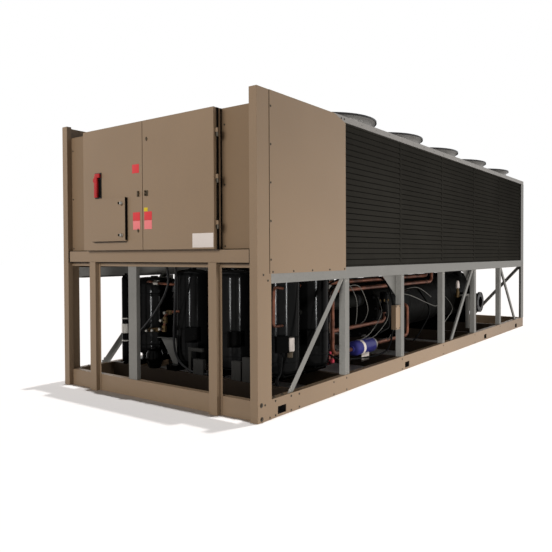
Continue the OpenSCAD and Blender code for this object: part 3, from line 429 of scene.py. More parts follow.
rail_inside, rail_wall = rail_x - 0.0062, 0.0064
frame_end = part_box("rear_base_beam")[1].y - front_y
# The black slot liners are painted shade for the dark insides of the rails.
sleeves, sleeve_out, sleeve_in, sleeve_deep = bmesh.new(), 0.055, 0.052, 0.07
for s in (0.29, 1.228 + 1.245, frame_end - 1.947, frame_end - 0.411):
    for s0, s1, z0, z1 in ((-sleeve_out, sleeve_out, 0.015, 0.018), (-sleeve_out, sleeve_out, 0.074, 0.077),
                           (-sleeve_out, -sleeve_in, 0.018, 0.074), (sleeve_in, sleeve_out, 0.018, 0.074)):
        twins(sleeves, at(rail_inside - sleeve_deep, s + s0, z0), at(rail_inside, s + s1, z1), 0.0004)
settle("slot_sleeves", sleeves, enamel("slot_painted_shade", srgb(18, 16, 14), 0.8, 0.1), slot="black_shell")
end_plates, rail_rear = bmesh.new(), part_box("side_rails")[1].y
beam_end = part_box("rear_base_beam")[1].x
twins(end_plates, (beam_end + 0.0004, rail_rear - 0.005, rail_wall),
      (rail_inside, rail_rear - 0.0004, rail_top - rail_wall), 0.0006)
settle("rail_end_plates", end_plates, tan, slot="tan_paint")


# Front end: two tall folded corner posts, the beam and sill that carry the control panel, and two legs.
# All are tan sheet steel; the centre post behind them is bare galvanised channel.
# Black strips above and below the beam, and at its ends, are painted shadow for the gaps against the control
# panel and the sill.
def galvanised(name, colour, roughness=0.5, metal=0.7, grain=70.0, spread=0.13):
    """Hot-dip zinc: grey crystals a thumbnail across, dulled by the weather."""
    made, shader, place = new_finish(name)
    crystal = place.node("ShaderNodeTexVoronoi", None, {"Vector": place, "Scale": grain}, out="Color")
    grey = place.node("ShaderNodeSeparateColor", None, {"Color": crystal})
    cloud = noise(place, 4.0, 4.0)
    tone = grey * 0.4 + cloud.between(0.3, 0.7) * 0.6
    bump = place.node("ShaderNodeBump", None, {
        "Strength": 0.25, "Distance": 0.0003, "Height": noise(place, 160.0)})
    place.into(shader, {
        "Base Color": tone.blend(tint(colour, 1 - spread), tint(colour, 1 + spread)),
        "Roughness": tone * 0.16 + (roughness - 0.08), "Metallic": metal, "Normal": bump,
        "Specular IOR Level": 0.3})
    return made


zinc_sheet = galvanised("galvanised_sheet", srgb(126, 124, 119))
bright_zinc = galvanised("bright_zinc", srgb(168, 165, 158), 0.36, 0.9, 160.0)
for node in ("front_posts", "front_legs", "panel_beam", "panel_sill", "panel_rear_beam"):
    folded(node, plate_edge, tan)
# The infill panels are a darker tan, as painted shade for their recess beside the doors.
folded("infill_panels", plate_edge, enamel("infill_painted_shade", srgb(125, 103, 80), 0.5))
folded("centre_post", plate_edge, zinc_sheet, slot="galvanised")
infill_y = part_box("infill_panels")[0].y
infill_spots = [(Vector((x, infill_y, z)), front_way)
                for x in (-1.03, -0.786, 0.786, 1.03) for z in (2.111, 1.677, 1.233)]
bolts("infill_screws", infill_spots, 0.005, 0.004, bolt_shade_paint, round_head)
# Black rubber for the knobs, and the same black for strips that are painted shadow in the gaps.
rubber_and_shadow = enamel("black_rubber_and_painted_shadow", srgb(14, 13, 12), 0.8, 0.2, 0.0006, 0.03)
# The black strips on the beam are painted shadow for the gaps round it.
beam_shadow_mesh = bmesh.new()
beam_low, beam_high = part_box("panel_beam")
shadow_strip_front, shadow_strip_rear = beam_low.y - 0.0015, beam_low.y + 0.02
for z0, z1 in ((beam_low.z - 0.006, beam_low.z + 0.0002), (beam_high.z - 0.0002, beam_high.z + 0.0055)):
    block(beam_shadow_mesh, (beam_low.x + 0.004, shadow_strip_front, z0), (beam_high.x - 0.004, shadow_strip_rear, z1), 0.001)
twins(beam_shadow_mesh, (beam_high.x - 0.012, shadow_strip_front, beam_low.z), (beam_high.x, beam_low.y, beam_high.z), 0.0005)
settle("beam_seals", beam_shadow_mesh, rubber_and_shadow, slot="black_plastic")

# Side panels: flat tan sheets beside the control bay, screwed to the posts, with the upper rear corner cut.
# A dark bead along the joint with the post is painted shadow for the gap there.
folded("side_panels", sheet_edge, tan)
panel_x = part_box("side_panels")[1].x
panel_screws = [(0.156, z) for z in (2.217, 1.948, 1.679, 1.407, 1.135)]
panel_screws += [(s, 1.047) for s in (0.177, 0.435, 0.692, 0.95, 1.19)]
bolts("panel_screws", both(panel_screws, panel_x), screw_r, screw_h, bolt_shade_paint, round_head)
shadow_beads = bmesh.new()
twins(shadow_beads, at(1.1178, 0.1405, 1.036), at(1.1204, 0.1432, 2.329), 0.0006)
settle("joint_sealant", shadow_beads, rubber_and_shadow, slot="black_plastic")

# Control panel: a folded box with a return round its opening, a rubber seal, and a bare plate for the gear.
# The box sides behind the doors are faced with black trim, which is painted shadow for the gaps beside the
# doors.
folded("control_box", 0.001, tan)
folded("mounting_plate", 0.0008, zinc_sheet, slot="galvanised")
box_low, box_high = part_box("control_box")
plate_low, plate_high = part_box("mounting_plate")
plate_bolts = [(Vector((x, plate_low.y, z)), front_way)
               for x in (plate_low.x + 0.022, plate_high.x - 0.022)
               for z in (plate_low.z + 0.022, plate_high.z - 0.022)]
bolts("plate_bolts", plate_bolts, 0.008, 0.006, bright_zinc)
seal_and_shadow, trim_t, trim_w, inset = bmesh.new(), 0.003, 0.012, 0.006
trim_x, lip_y = box_high.x + trim_t, box_low.y - 0.004
for y0, y1 in ((box_low.y + 0.001, box_low.y + 0.022), (infill_y - 0.013, infill_y)):
    twins(seal_and_shadow, (box_high.x, y0, box_low.z), (trim_x, y1, box_high.z), 0.0008)
twins(seal_and_shadow, (box_high.x - inset - trim_w, lip_y, box_low.z + inset),
      (box_high.x - inset, box_low.y, box_high.z - inset), 0.001)
for z in (box_low.z + inset, box_high.z - inset - trim_w):
    block(seal_and_shadow, (box_low.x + 0.018, lip_y, z), (box_high.x - 0.018, box_low.y, z + trim_w), 0.001)
settle("panel_seal", seal_and_shadow, rubber_and_shadow, slot="black_plastic")

# Doors: two tray-shaped doors of folded sheet on lift-off hinges, painted tan.
# The left one carries a hinged flap over a smaller opening; the hinges are worn zinc.
for side in ("left_door", "right_door"):
    folded(side, 0.0014, tan, body=side)
folded("access_flap", 0.0014, tan, body="access_flap")
worn_zinc = galvanised("worn_zinc", srgb(96, 90, 80), 0.5, 0.6, 160.0)
folded("door_hinges", 0.0008, worn_zinc, slot="zinc")

# Door fittings: zinc quarter-turn fasteners and padlock hasps, and bare marking plates held by adhesive.
# The plates carry no words or signs.
dark_zinc = galvanised("dark_zinc", srgb(84, 74, 60), 0.45, 0.6, 160.0)
for side in ("left_door", "right_door"):
    folded(side + "_latches", 0.0008, dark_zinc, body=side, slot="zinc")
red_film = enamel("red_film", srgb(206, 58, 62), 0.4)
pink_film = enamel("pale_red_film", srgb(226, 122, 122), 0.4)
white_film = enamel("white_film", srgb(216, 204, 195), 0.35, 0.03)
yellow_film = enamel("yellow_film", srgb(206, 178, 40), 0.4)
door_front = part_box("right_door")[0].y
film_t = 0.0012
for name, finish, body, places in (
        ("red_plates_left", red_film, "left_door",
         [(-0.12, 1.825, -0.039, 1.895), (-0.115, 1.446, -0.031, 1.513)]),
        ("pale_plate_left", pink_film, "left_door", [(-0.115, 1.375, -0.031, 1.444)]),
        ("red_plate_right", red_film, "right_door", [(0.019, 1.446, 0.107, 1.513)]),
        ("pale_plate_right", pink_film, "right_door", [(0.019, 1.375, 0.107, 1.444)]),
        ("yellow_plate", yellow_film, "right_door", [(0.016, 1.515, 0.059, 1.545)]),
        ("white_plate", white_film, "right_door", [(0.544, 1.225, 0.752, 1.329)])):
    film = bmesh.new()
    for x0, z0, x1, z1 in places:
        block(film, (x0, door_front - film_t, z0), (x1, door_front, z1), 0.0005)
    settle(name, film, finish, body, "tan_paint")

# Disconnect switch: a moulded black plate on the left door and a red lever that turns on its hub.
# The lever is one moulding with a ribbed grip; a dark strip lies beside it.
black_plastic = enamel("black_plastic", srgb(24, 24, 25), 0.5, 0.15, 0.0006)
red_plastic = enamel("red_plastic", srgb(170, 34, 36), 0.38, 0.08)
folded("switch_plate", 0.002, black_plastic, body="left_door", slot="black_plastic")


def seat(spot, axis="Z", angle=0.0):
    """A place for a turned shape: its spot, and its axis tipped about one of the main ones."""
    return Matrix.Translation(spot) @ Matrix.Rotation(math.radians(angle), 4, axis)


def turned(work, profile, place, steps, hollow=False):
    """Spins a profile of radius and height pairs, closed at its axis or, where hollow, on itself."""
    if not hollow and profile[0][0]:
        profile = [(0.0, profile[0][1]), *profile, (0.0, profile[-1][1])]
    angles = [2 * math.pi * i / steps for i in range(steps)]
    rows = []
    for radius, height in profile:
        ring = [(radius * math.cos(a), radius * math.sin(a), height) for a in (angles if radius else [0.0])]
        rows.append([work.verts.new(place @ Vector(p)) for p in ring])
    if hollow:
        rows.append(rows[0])
    for low, high in zip(rows, rows[1:]):
        for i in range(steps):
            k = (i + 1) % steps
            corners = [low[i % len(low)], low[k % len(low)], high[k % len(high)], high[i % len(high)]]
            work.faces.new(list(dict.fromkeys(corners)))


plate_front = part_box("switch_plate")[0].y
hub_x, hub_z, hub_r = -0.57, 1.803, 0.024
grip = bmesh.new()
turned(grip, [(hub_r - 0.004, 0.001), (hub_r, 0.003), (hub_r, 0.019), (hub_r - 0.003, 0.022)],
       seat((hub_x, plate_front, hub_z), "X", 90), 28)
block(grip, (-0.58, plate_front - 0.021, 1.657), (-0.541, plate_front - 0.002, 1.84), 0.005)
block(grip, (-0.574, plate_front - 0.02, 1.822), (-0.512, plate_front - 0.003, 1.858), 0.006)
for k in range(5):
    rib_z = 1.672 + 0.018 * k
    block(grip, (-0.577, plate_front - 0.0235, rib_z), (-0.544, plate_front - 0.018, rib_z + 0.008), 0.002)
settle("lever_grip", grip, red_plastic, "switch_lever", "red_plastic", ("switch_lever",))
dark_strip = bmesh.new()
block(dark_strip, (-0.538, plate_front - 0.0014, 1.66), (-0.514, plate_front, 1.81), 0.0005)
settle("lever_guide", dark_strip, rubber_and_shadow, "left_door", "black_plastic")

# Flap fasteners: two black wing knobs on zinc studs that pull the flap shut.
# A black strip along its free side and its foot is painted shadow for the gap round the flap.
flap_low, flap_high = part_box("access_flap")
flap_y = flap_low.y
wings, studs = bmesh.new(), bmesh.new()
for z in (1.335, 1.594):
    stud_place = seat((-0.232, flap_y + 0.012, z), "X", 90)
    turned(studs, [(0.013, 0.0), (0.013, 0.012), (0.01, 0.016)], stud_place, 16)
    block(wings, (-0.262, flap_y - 0.012, z - 0.009), (-0.238, flap_y - 0.001, z + 0.009), 0.004)
    block(studs, (-0.238, flap_y - 0.014, z - 0.012), (-0.222, flap_y - 0.001, z + 0.012), 0.004)
settle("flap_studs", studs, bright_zinc, "access_flap")
settle("flap_wings", wings, rubber_and_shadow, "access_flap", "black_plastic")
flap_shadow, flap_shadow_front, flap_shadow_rear = bmesh.new(), flap_y + 0.001, flap_high.y - 0.0015
block(flap_shadow, (flap_high.x - 0.002, flap_shadow_front, flap_low.z + 0.01),
      (flap_high.x + 0.004, flap_shadow_rear, flap_high.z + 0.002), 0.001)
block(flap_shadow, (flap_low.x + 0.01, flap_shadow_front, flap_low.z - 0.003),
      (flap_high.x - 0.004, flap_shadow_rear, flap_low.z + 0.001), 0.001)
settle("flap_edge", flap_shadow, rubber_and_shadow, "access_flap", "black_plastic")

# Upper frame: galvanised channels and angles, bolted together on the base.
# Mid rails and posts carry the coils, diagonals brace the bays, and sheets close the ends and the plenum.
for node in ("mid_rails", "rear_mid_rail", "side_posts", "rear_posts", "side_braces", "rear_braces",
             "gussets", "front_bulkhead", "rear_panel", "plenum_floor", "motor_bars"):
    piece = folded(node, sheet_edge, zinc_sheet, slot="galvanised")
    if node in ("mid_rails", "side_posts", "side_braces", "gussets"):
        bay_frame.objects.link(piece)
side_post_x, brace_x, brace_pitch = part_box("side_posts")[1].x, 1.098, 3.354
post_bolts = [(s + d, z) for s in cross_s[1:] for d in (0.02, 0.05) for z in (0.155, 0.95)]
bolts("post_bolts", both(post_bolts, side_post_x), 0.007, 0.005, bright_zinc)
brace_bolts = [(s + d, z) for d in (0.0, brace_pitch)
               for s, z in ((0.405, 0.155), (0.425, 0.175), (1.165, 0.935), (1.185, 0.953))]
bolts("brace_bolts", both(brace_bolts, brace_x), 0.008, 0.006, bright_zinc)

# Coils: five louvred panels a side, coated charcoal, with the black fins of the coil behind them.
# Each blade is a folded strip that laps over the next one, held in a folded frame.
charcoal = enamel("charcoal_coating", srgb(46, 44, 40), 0.75, 0.12, 0.0005, 0.0)
coil_black = enamel("coil_fins", srgb(16, 15, 14), 0.8, 0.3, 0.0008, 0.03)
given = new_tree("slat_copies", {"Slat": "Object"})
slat_shape = given["Slat"].node("GeometryNodeObjectInfo", {"transform_space": "ORIGINAL"},
                                {"Object": given["Slat"]}, out="Geometry")
slats_tree = close_tree(given, slat_shape.node("GeometryNodeInstanceOnPoints", None, {
    "Points": given["Geometry"], "Instance": slat_shape}))


def plate(work, corners, way, thick):
    """A flat plate cut to an outline, or a folded strip drawn along."""
    near = [work.verts.new(Vector(c)) for c in corners]
    far = [work.verts.new(Vector(c) + Vector(way) * thick) for c in corners]
    work.faces.new(near)
    work.faces.new(far[::-1])
    for i, k in enumerate([*range(1, len(near)), 0]):
        work.faces.new([near[i], far[i], far[k], near[k]])


coil_s, coil_l, coil_low, coil_high = [1.23 + module * k for k in range(5)], 1.114, 1.063, 2.285
coil_in, coil_out, frame_deep, stile, slat_count = 1.046, 1.1025, 0.022, 0.013, 24
pitch = (coil_high - coil_low - 2 * stile) / slat_count
slat_outline = [(0.0, 0.003), (0.009, pitch * 0.93), (0.011, pitch * 0.93), (0.002, 0.0052), (0.02, 0.0052),
                (0.02, 0.003)]
slat_seats = [at(0, s + stile, coil_low + stile + pitch * k) for s in coil_s for k in range(slat_count)]
for side, node in ((1, "right_coil_panels"), (-1, "left_coil_panels")):
    fold, frames, fins = bmesh.new(), bmesh.new(), bmesh.new()
    plate(fold, [(side * (coil_out - deep), 0, z) for deep, z in slat_outline], rear_way, coil_l - 2 * stile)
    bmesh.ops.recalc_face_normals(fold, faces=fold.faces)
    slat = shown("slat", fold, charcoal, 20)
    grown(node + "_slats", slats_tree, points(slat_seats), {"Slat": slat}, charcoal,
          slot="dark_louvre", replaces=(node,), crease=20)
    bpy.data.objects.remove(slat)
    outer, inner, rear = side * coil_out, side * (coil_out - frame_deep), side * coil_in
    for s in coil_s:
        end = s + coil_l
        for s0, s1, z0, z1 in ((s, s + stile, coil_low, coil_high), (end - stile, end, coil_low, coil_high),
                               (s + stile, end - stile, coil_low, coil_low + stile),
                               (s + stile, end - stile, coil_high - stile, coil_high)):
            block(frames, at(inner, s0, z0), at(outer, s1, z1), 0.001)
        block(fins, at(rear, s, coil_low), at(inner, end, coil_high), 0.001)
    settle(node + "_frames", frames, charcoal, slot="dark_louvre")
    settle(node + "_fins", fins, coil_black, slot="dark_louvre")

# Bulkhead strips: folded sheet in the coils' charcoal coating, one a side.
# Each closes the corner between a side panel and the bulkhead at the first coil.
closers, closer_x, closer_t = bmesh.new(), 1.1, 0.003
twins(closers, (closer_x - closer_t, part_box("side_panels")[1].y, coil_low),
      (closer_x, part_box("front_bulkhead")[0].y, coil_high), 0.0005)
settle("bulkhead_strips", closers, charcoal, slot="dark_louvre")

# Fan deck: galvanised sheets, one to a pair of fans, with a turned-down edge along each side.
# Screws hold the edge to the coil frames, and a closing strip is let into each end.
deck_zinc = galvanised("deck_sheet", srgb(144, 140, 135), 0.46)
folded("fan_deck", sheet_edge, deck_zinc, slot="galvanised")
deck_low, deck_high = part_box("fan_deck")
deck_x, screw_z = deck_high.x, 2.31
strips, strip_t, strip_x = bmesh.new(), 0.003, deck_x - 0.004
for end in (deck_low.y, deck_high.y - strip_t):
    block(strips, (-strip_x, end, deck_low.z + 0.001), (strip_x, end + strip_t, deck_high.z - 0.0015), 0.0008)
settle("deck_end_strips", strips, deck_zinc, slot="galvanised")
corner_spots = both([(s, screw_z) for s in (1.08, 1.15, 1.2)], deck_x)
bolts("deck_corner_screws", corner_spots, 0.006, 0.004, bolt_shade_paint, round_head)
edge_spots = both([(1.228 + 0.28 * k, screw_z) for k in range(1, 21)], deck_x)
bolts("deck_screws", edge_spots, 0.005, 0.003, deck_zinc, round_head)

# Fan rings: spun galvanised bells with a rolled foot screwed to the deck, two abreast in five rows.
# The rolled top edge takes the guard; each ring stands round a throat cut in the deck.
ring_zinc = galvanised("ring_sheet", srgb(108, 106, 103), 0.3, 0.75, 60.0, 0.12)
fan_x, fan_s = 0.554, [1.787 + module * k for k in range(5)]
fan_spots = [at(x, s, 0) for s in fan_s for x in (-fan_x, fan_x)]
ring_foot, ring_top, throat, mouth, ring_t = 2.335, 2.44, 0.452, 0.496, 0.003
foot_r, foot_top = throat + 0.042, ring_foot + ring_t
flare = [(throat + ring_t + (mouth - throat) * share ** 2.4,
          ring_foot + 0.006 + (ring_top - ring_foot - 0.012) * share)
         for share in (0.0, 0.15, 0.3, 0.45, 0.6, 0.75, 0.88, 1.0)]
bell = [(foot_r, ring_foot), (foot_r, foot_top), (throat + 0.007, foot_top), *flare]
bell += [(mouth + 0.004, ring_top - 0.002), (mouth, ring_top)]
bell += [(radius - ring_t, height) for radius, height in flare[::-1]] + [(throat, ring_foot)]
rings = bmesh.new()
for spot in fan_spots:
    turned(rings, bell, seat(spot), 64, True)
fan_row.objects.link(settle("fan_ring_bells", rings, ring_zinc, slot="galvanised", replaces=("fan_rings",),
                            crease=50))


def circle(count, radius, start=0.0):
    """Points evenly spaced round a circle."""
    angles = [2 * math.pi * (k + start) / count for k in range(count)]
    return [(radius * math.cos(a), radius * math.sin(a)) for a in angles]


foot_spots = [(spot + Vector((x, y, foot_top)), up_way) for spot in fan_spots
              for x, y in circle(12, foot_r - 0.014, 0.5)]
bolts("ring_screws", foot_spots, 0.006, 0.005, bolt_shade_paint)

# Fan guards: black-dipped wire, close rings on eight spokes that run in to a centre plate.
# A folded rim on the outer ring clips over the edge of the bell.
given = new_tree("wire_guards", {
    "Inner": "Float", "Outer": "Float", "Rings": "Int", "Spokes": "Int", "Wire": "Float"})
step = (given["Outer"] - given["Inner"]) / (given["Rings"] - 1)
hoop_seats = step.node("GeometryNodeMeshLine", None, {
    "Count": given["Rings"], "Start Location": (0, 0, 0), "Offset": (0, 0, 0)})
number = step.node("GeometryNodeInputIndex")
span = number * step + given["Inner"]
hoop = step.node("GeometryNodeCurvePrimitiveCircle", {"mode": "RADIUS"}, {"Resolution": 56, "Radius": 1.0})
size = step.node("ShaderNodeCombineXYZ", None, {"X": span, "Y": span, "Z": 1.0})
hoops = step.node("GeometryNodeInstanceOnPoints", None, {
    "Points": hoop_seats, "Instance": hoop, "Scale": size})
spoke_z = given["Wire"] * -1.6
reach = step.node("ShaderNodeCombineXYZ", None, {"X": given["Outer"], "Z": spoke_z})
near = step.node("ShaderNodeCombineXYZ", None, {"X": given["Inner"] * 0.6, "Z": spoke_z})
spoke = step.node("GeometryNodeCurvePrimitiveLine", None, {"Start": near, "End": reach})
spoke_seats = step.node("GeometryNodeMeshLine", None, {"Count": given["Spokes"], "Offset": (0, 0, 0)})
spin = step.node("ShaderNodeCombineXYZ", None, {"Z": number * (2 * math.pi) / given["Spokes"]})
spin = step.node("FunctionNodeEulerToRotation", None, {"Euler": spin})
spokes = step.node("GeometryNodeInstanceOnPoints", None, {
    "Points": spoke_seats, "Instance": spoke, "Rotation": spin})
wires = step.node("GeometryNodeJoinGeometry", None, {"Geometry": [hoops, spokes]})
wires = step.node("GeometryNodeRealizeInstances", None, {"Geometry": wires})


def drawn(route, radius, around):
    """A round wire or tube along a curve, closed at its ends."""
    ring = route.node("GeometryNodeCurvePrimitiveCircle", {"mode": "RADIUS"}, {
        "Resolution": around, "Radius": radius})
    return route.node("GeometryNodeCurveToMesh", None, {
        "Curve": route, "Profile Curve": ring, "Fill Caps": True})


guards_tree = close_tree(given, step.node("GeometryNodeInstanceOnPoints", None, {
    "Points": given["Geometry"], "Instance": drawn(wires, given["Wire"], 5)}))
guard_black = enamel("guard_wire", srgb(34, 33, 32), 0.4, 0.15)
guard_z = ring_top + 0.0035
guard_seats = points([spot + Vector((0, 0, guard_z)) for spot in fan_spots])
grown("fan_guard_wires", guards_tree, guard_seats, {
    "Inner": 0.075, "Outer": mouth, "Rings": 14, "Spokes": 8, "Wire": 0.0024}, guard_black,
    slot="guard_wire", replaces=("fan_guards",))
guard_plates = bmesh.new()
centre_plate = [(0.066, 0.0045), (0.074, 0.002), (0.074, -0.0005)]
guard_rim = [(0.0045, -0.014), (0.009, -0.013), (0.009, 0.004), (0.005, 0.006), (-0.004, 0.006),
             (-0.006, 0.001), (0.0045, 0.0005)]
for spot in fan_spots:
    turned(guard_plates, centre_plate, seat(spot + Vector((0, 0, guard_z))), 32)
    turned(guard_plates, [(mouth + out, ring_top + up) for out, up in guard_rim], seat(spot), 64, True)
settle("guard_plates", guard_plates, guard_black, slot="guard_wire", crease=60)

# Fan rotors: five swept sheet blades on a cast hub, dull black, on the shafts of the motors below.
# Each blade widens and flattens towards its tip and is slightly cambered.
fan_black = enamel("fan_black", srgb(30, 30, 31), 0.5, 0.15)
rotor_low, rotor_high, hub_r, tip_r, blade_half = 2.347, 2.427, 0.105, 0.438, 0.0015
blade_count, blade_rows, camber_row = 5, 6, (-0.5, -0.2, 0.15, 0.5)
hub = [(0.0, rotor_high), (0.05, rotor_high - 0.001), (0.085, rotor_high - 0.008),
       (hub_r, rotor_high - 0.022), (hub_r, rotor_low + 0.002), (hub_r - 0.004, rotor_low), (0.0, rotor_low)]
blade = []
for share in (i / (blade_rows - 1) for i in range(blade_rows)):
    radius = hub_r - 0.004 + share * (tip_r - hub_r + 0.004)
    tilt = math.radians(34 - 17 * share)
    chord = 0.14 + 0.13 * share - 0.05 * share ** 3
    sweep = 0.28 * share ** 1.6
    for across in camber_row:
        bend = sweep + across * chord * math.cos(tilt) / radius
        height = (rotor_low + rotor_high) / 2 + across * min(chord * math.sin(tilt), 0.07)
        height += 0.006 * (0.25 - across ** 2)
        blade.append(Matrix.Rotation(bend, 4, "Z") @ Vector((radius, 0, height)))
wide = len(camber_row)
tip, heel = (blade_rows - 1) * wide, wide - 1
rim = [*range(0, tip, wide), *range(tip, tip + heel), *range(tip + heel, heel, -wide), *range(heel, 0, -1)]
blades = bmesh.new()
for spot in fan_spots:
    turned(blades, hub, seat(spot), 32)
    for k in range(blade_count):
        place = seat(spot, "Z", 360 * k / blade_count)
        top, under = ([blades.verts.new(place @ p + Vector((0, 0, lift))) for p in blade]
                      for lift in (blade_half, -blade_half))
        for i in range(0, tip, wide):
            for j in range(i, i + heel):
                blades.faces.new([top[j], top[j + wide], top[j + wide + 1], top[j + 1]])
                blades.faces.new([under[j], under[j + 1], under[j + wide + 1], under[j + wide]])
        for a, b in zip(rim, rim[1:] + rim[:1]):
            blades.faces.new([top[a], under[a], under[b], top[b]])
settle("fan_rotor_blades", blades, fan_black, slot="fan_black", replaces=("fan_rotors",))

# Fan motors: cast bodies with cooling fins and a round flange, hung under their bars.
# They are dull black like the rotors, which sit on their shafts.
motor_low, motor_high, motor_r, fin_pitch, fin_count = 2.118, 2.318, 0.09, 0.009, 15
motors = bmesh.new()
body = [(0.05, motor_low), (0.076, motor_low + 0.008), (0.082, motor_low + 0.024)]
body += [(motor_r - 0.012 * (k % 2), motor_low + 0.03 + fin_pitch * (k + end))
         for k in range(fin_count) for end in (0.0, 0.85)]
body += [(0.084, motor_high - 0.02), (0.115, motor_high - 0.012), (0.115, motor_high), (0.03, motor_high),
         (0.03, rotor_low + 0.001)]
for spot in fan_spots:
    turned(motors, body, seat(spot), 24)
settle("fan_motor_bodies", motors, fan_black, slot="fan_black", replaces=("fan_motors",))

# Compressors: six black shells in two rows on steel bearers, each with a terminal box and a top collar.
# The shells are pressed cups with a weld at each joint, bolted down by their square feet.
shell_black = enamel("black_shell_enamel", srgb(14, 14, 14), 0.14, 0.2, 0.00005, 0.04)
dim(folded("compressor_bearers", 0.002, shell_black, slot="black_shell"))
compressor_xs, compressor_ss, shell_r = (-0.26, 0.24, 0.74), (0.78, 1.24), 0.17
shell_low, shell_high, crown = 0.19, 1.052, 0.06
foot_half, foot_t, foot_bolt, terminal_turn = 0.15, 0.005, 0.125, -50
wall_r, foot_z = shell_r - 0.003, shell_low + foot_t


def weld_bead(wall, height, half):
    """A raised weld round a vessel, as part of its profile."""
    return [(wall, height - 0.02), (wall, height - half), (wall + 0.003, height - 0.003),
            (wall + 0.003, height + 0.003), (wall, height + half), (wall, height + 0.02)]


shell = [(0.10, foot_z)]
shell += [(shell_r - 0.034 + 0.03 * math.cos(a), shell_low + 0.04 + 0.03 * math.sin(a))
          for a in (math.radians(-80 + 80 * i / 6) for i in range(7))]
shell += weld_bead(wall_r, 0.30, 0.006) + weld_bead(wall_r, 0.50, 0.006)
shell += [(wall_r, shell_high - crown - 0.02), (wall_r, shell_high - crown)]
shell += [(wall_r * math.cos(a) ** 0.7, shell_high - crown + (crown - 0.012) * math.sin(a))
          for a in (0.25, 0.5, 0.75, 1.0, 1.25)]
shell += [(0.04, shell_high - 0.012), (0.036, shell_high - 0.01), (0.036, shell_high - 0.003),
          (0.03, shell_high)]
shells, lids, feet = bmesh.new(), bmesh.new(), []
for spot in [at(x, s, 0) for x in compressor_xs for s in compressor_ss]:
    turned(shells, shell, seat(spot), 40)
    block(shells, spot + Vector((-foot_half, -foot_half, shell_low)),
          spot + Vector((foot_half, foot_half, foot_z)), 0.0015)
    feet += [(spot + Vector((x, y, foot_z)), up_way)
             for x in (-foot_bolt, foot_bolt) for y in (-foot_bolt, foot_bolt)]
    for work, low, high, edge in ((shells, (0.15, -0.055, 0.39), (0.213, 0.055, 0.52), 0.004),
                                  (lids, (0.213, -0.057, 0.388), (0.225, 0.057, 0.522), 0.003)):
        before = set(work.verts)
        block(work, low, high, edge)
        added = [v for v in work.verts if v not in before]
        bmesh.ops.transform(work, matrix=seat(spot, "Z", terminal_turn), verts=added)
shell_piece = settle("compressor_shells", shells, shell_black, slot="black_shell", replaces=("compressors",))
dim(shell_piece)
shiny_shells.objects.link(shell_piece)
dim(settle("terminal_lids", lids, shell_black, slot="black_plastic"))
dim(bolts("compressor_feet", feet, 0.009, 0.012, shell_black))
pale_cap, cap_stub = bmesh.new(), bmesh.new()
cap_place = seat(at(compressor_xs[2], compressor_ss[0], 0), "Z", -30) @ Matrix.Translation((0.195, 0, 0))
turned(pale_cap, [(0.034, 0.398), (0.037, 0.402), (0.037, 0.5), (0.033, 0.506)], cap_place, 24)
turned(cap_stub, [(0.02, 0.345), (0.024, 0.35), (0.024, 0.385), (0.03, 0.39), (0.03, 0.4)], cap_place, 16)
settle("pale_cap", pale_cap, white_film, slot="black_plastic")
settle("cap_stub", cap_stub, dark_zinc)

# Liquid receiver and suction accumulator: welded black vessels with domed ends, standing on the base.
# A zinc clamp and two straps go round the slim accumulator.
receiver, receiver_r, receiver_low, receiver_high = bmesh.new(), 0.2, 0.19, 0.97
wall = receiver_r - 0.003
vessel = [(0.12, receiver_low), (0.125, receiver_low + 0.03)]
vessel += [(receiver_r * math.cos(a), receiver_low + 0.1 + 0.09 * math.sin(a))
           for a in (-0.9, -0.6, -0.3, 0.0)]
vessel += weld_bead(wall, 0.33, 0.008) + weld_bead(wall, 0.80, 0.008)
vessel += [(wall * math.cos(a) ** 0.7, receiver_high - 0.04 + 0.03 * math.sin(a))
           for a in (0.0, 0.3, 0.6, 0.9, 1.2)]
vessel += [(0.035, receiver_high - 0.012), (0.035, receiver_high)]
turned(receiver, vessel, seat(at(-0.78, 0.78, 0)), 48)
receiver_piece = settle("receiver_vessel", receiver, shell_black, slot="black_shell", replaces=("receiver",))
dim(receiver_piece)
shiny_shells.objects.link(receiver_piece)
accumulator, slim_r, slim_top = bmesh.new(), 0.042, 0.945
slim = [(0.036, 0.14), (0.036, 0.15), (0.028, 0.155), (slim_r, 0.17), (slim_r, slim_top)]
slim += [(slim_r * math.cos(a), slim_top + 0.04 * math.sin(a)) for a in (0.4, 0.8, 1.2)]
slim_place = seat(at(-0.89, 0.5225, 0))
turned(accumulator, slim + [(0.014, 0.984), (0.014, 1.0)], slim_place, 32)
dim(settle("accumulator_vessel", accumulator, shell_black, slot="black_shell", replaces=("accumulator",)))


def band(work, inner, outer, low, high, edge, place, steps):
    """A strap or sleeve round a vessel or pipe, with bevelled ends."""
    turned(work, [(inner, low), (outer, low + edge), (outer, high - edge), (inner, high)], place, steps, True)


clamp, strap_r = bmesh.new(), slim_r + 0.0005
band(clamp, strap_r, 0.0455, 0.43, 0.52, 0.003, slim_place, 32)
for z in (0.36, 0.57):
    band(clamp, strap_r, 0.045, z - 0.006, z + 0.006, 0.001, slim_place, 32)
settle("accumulator_clamp", clamp, bright_zinc)

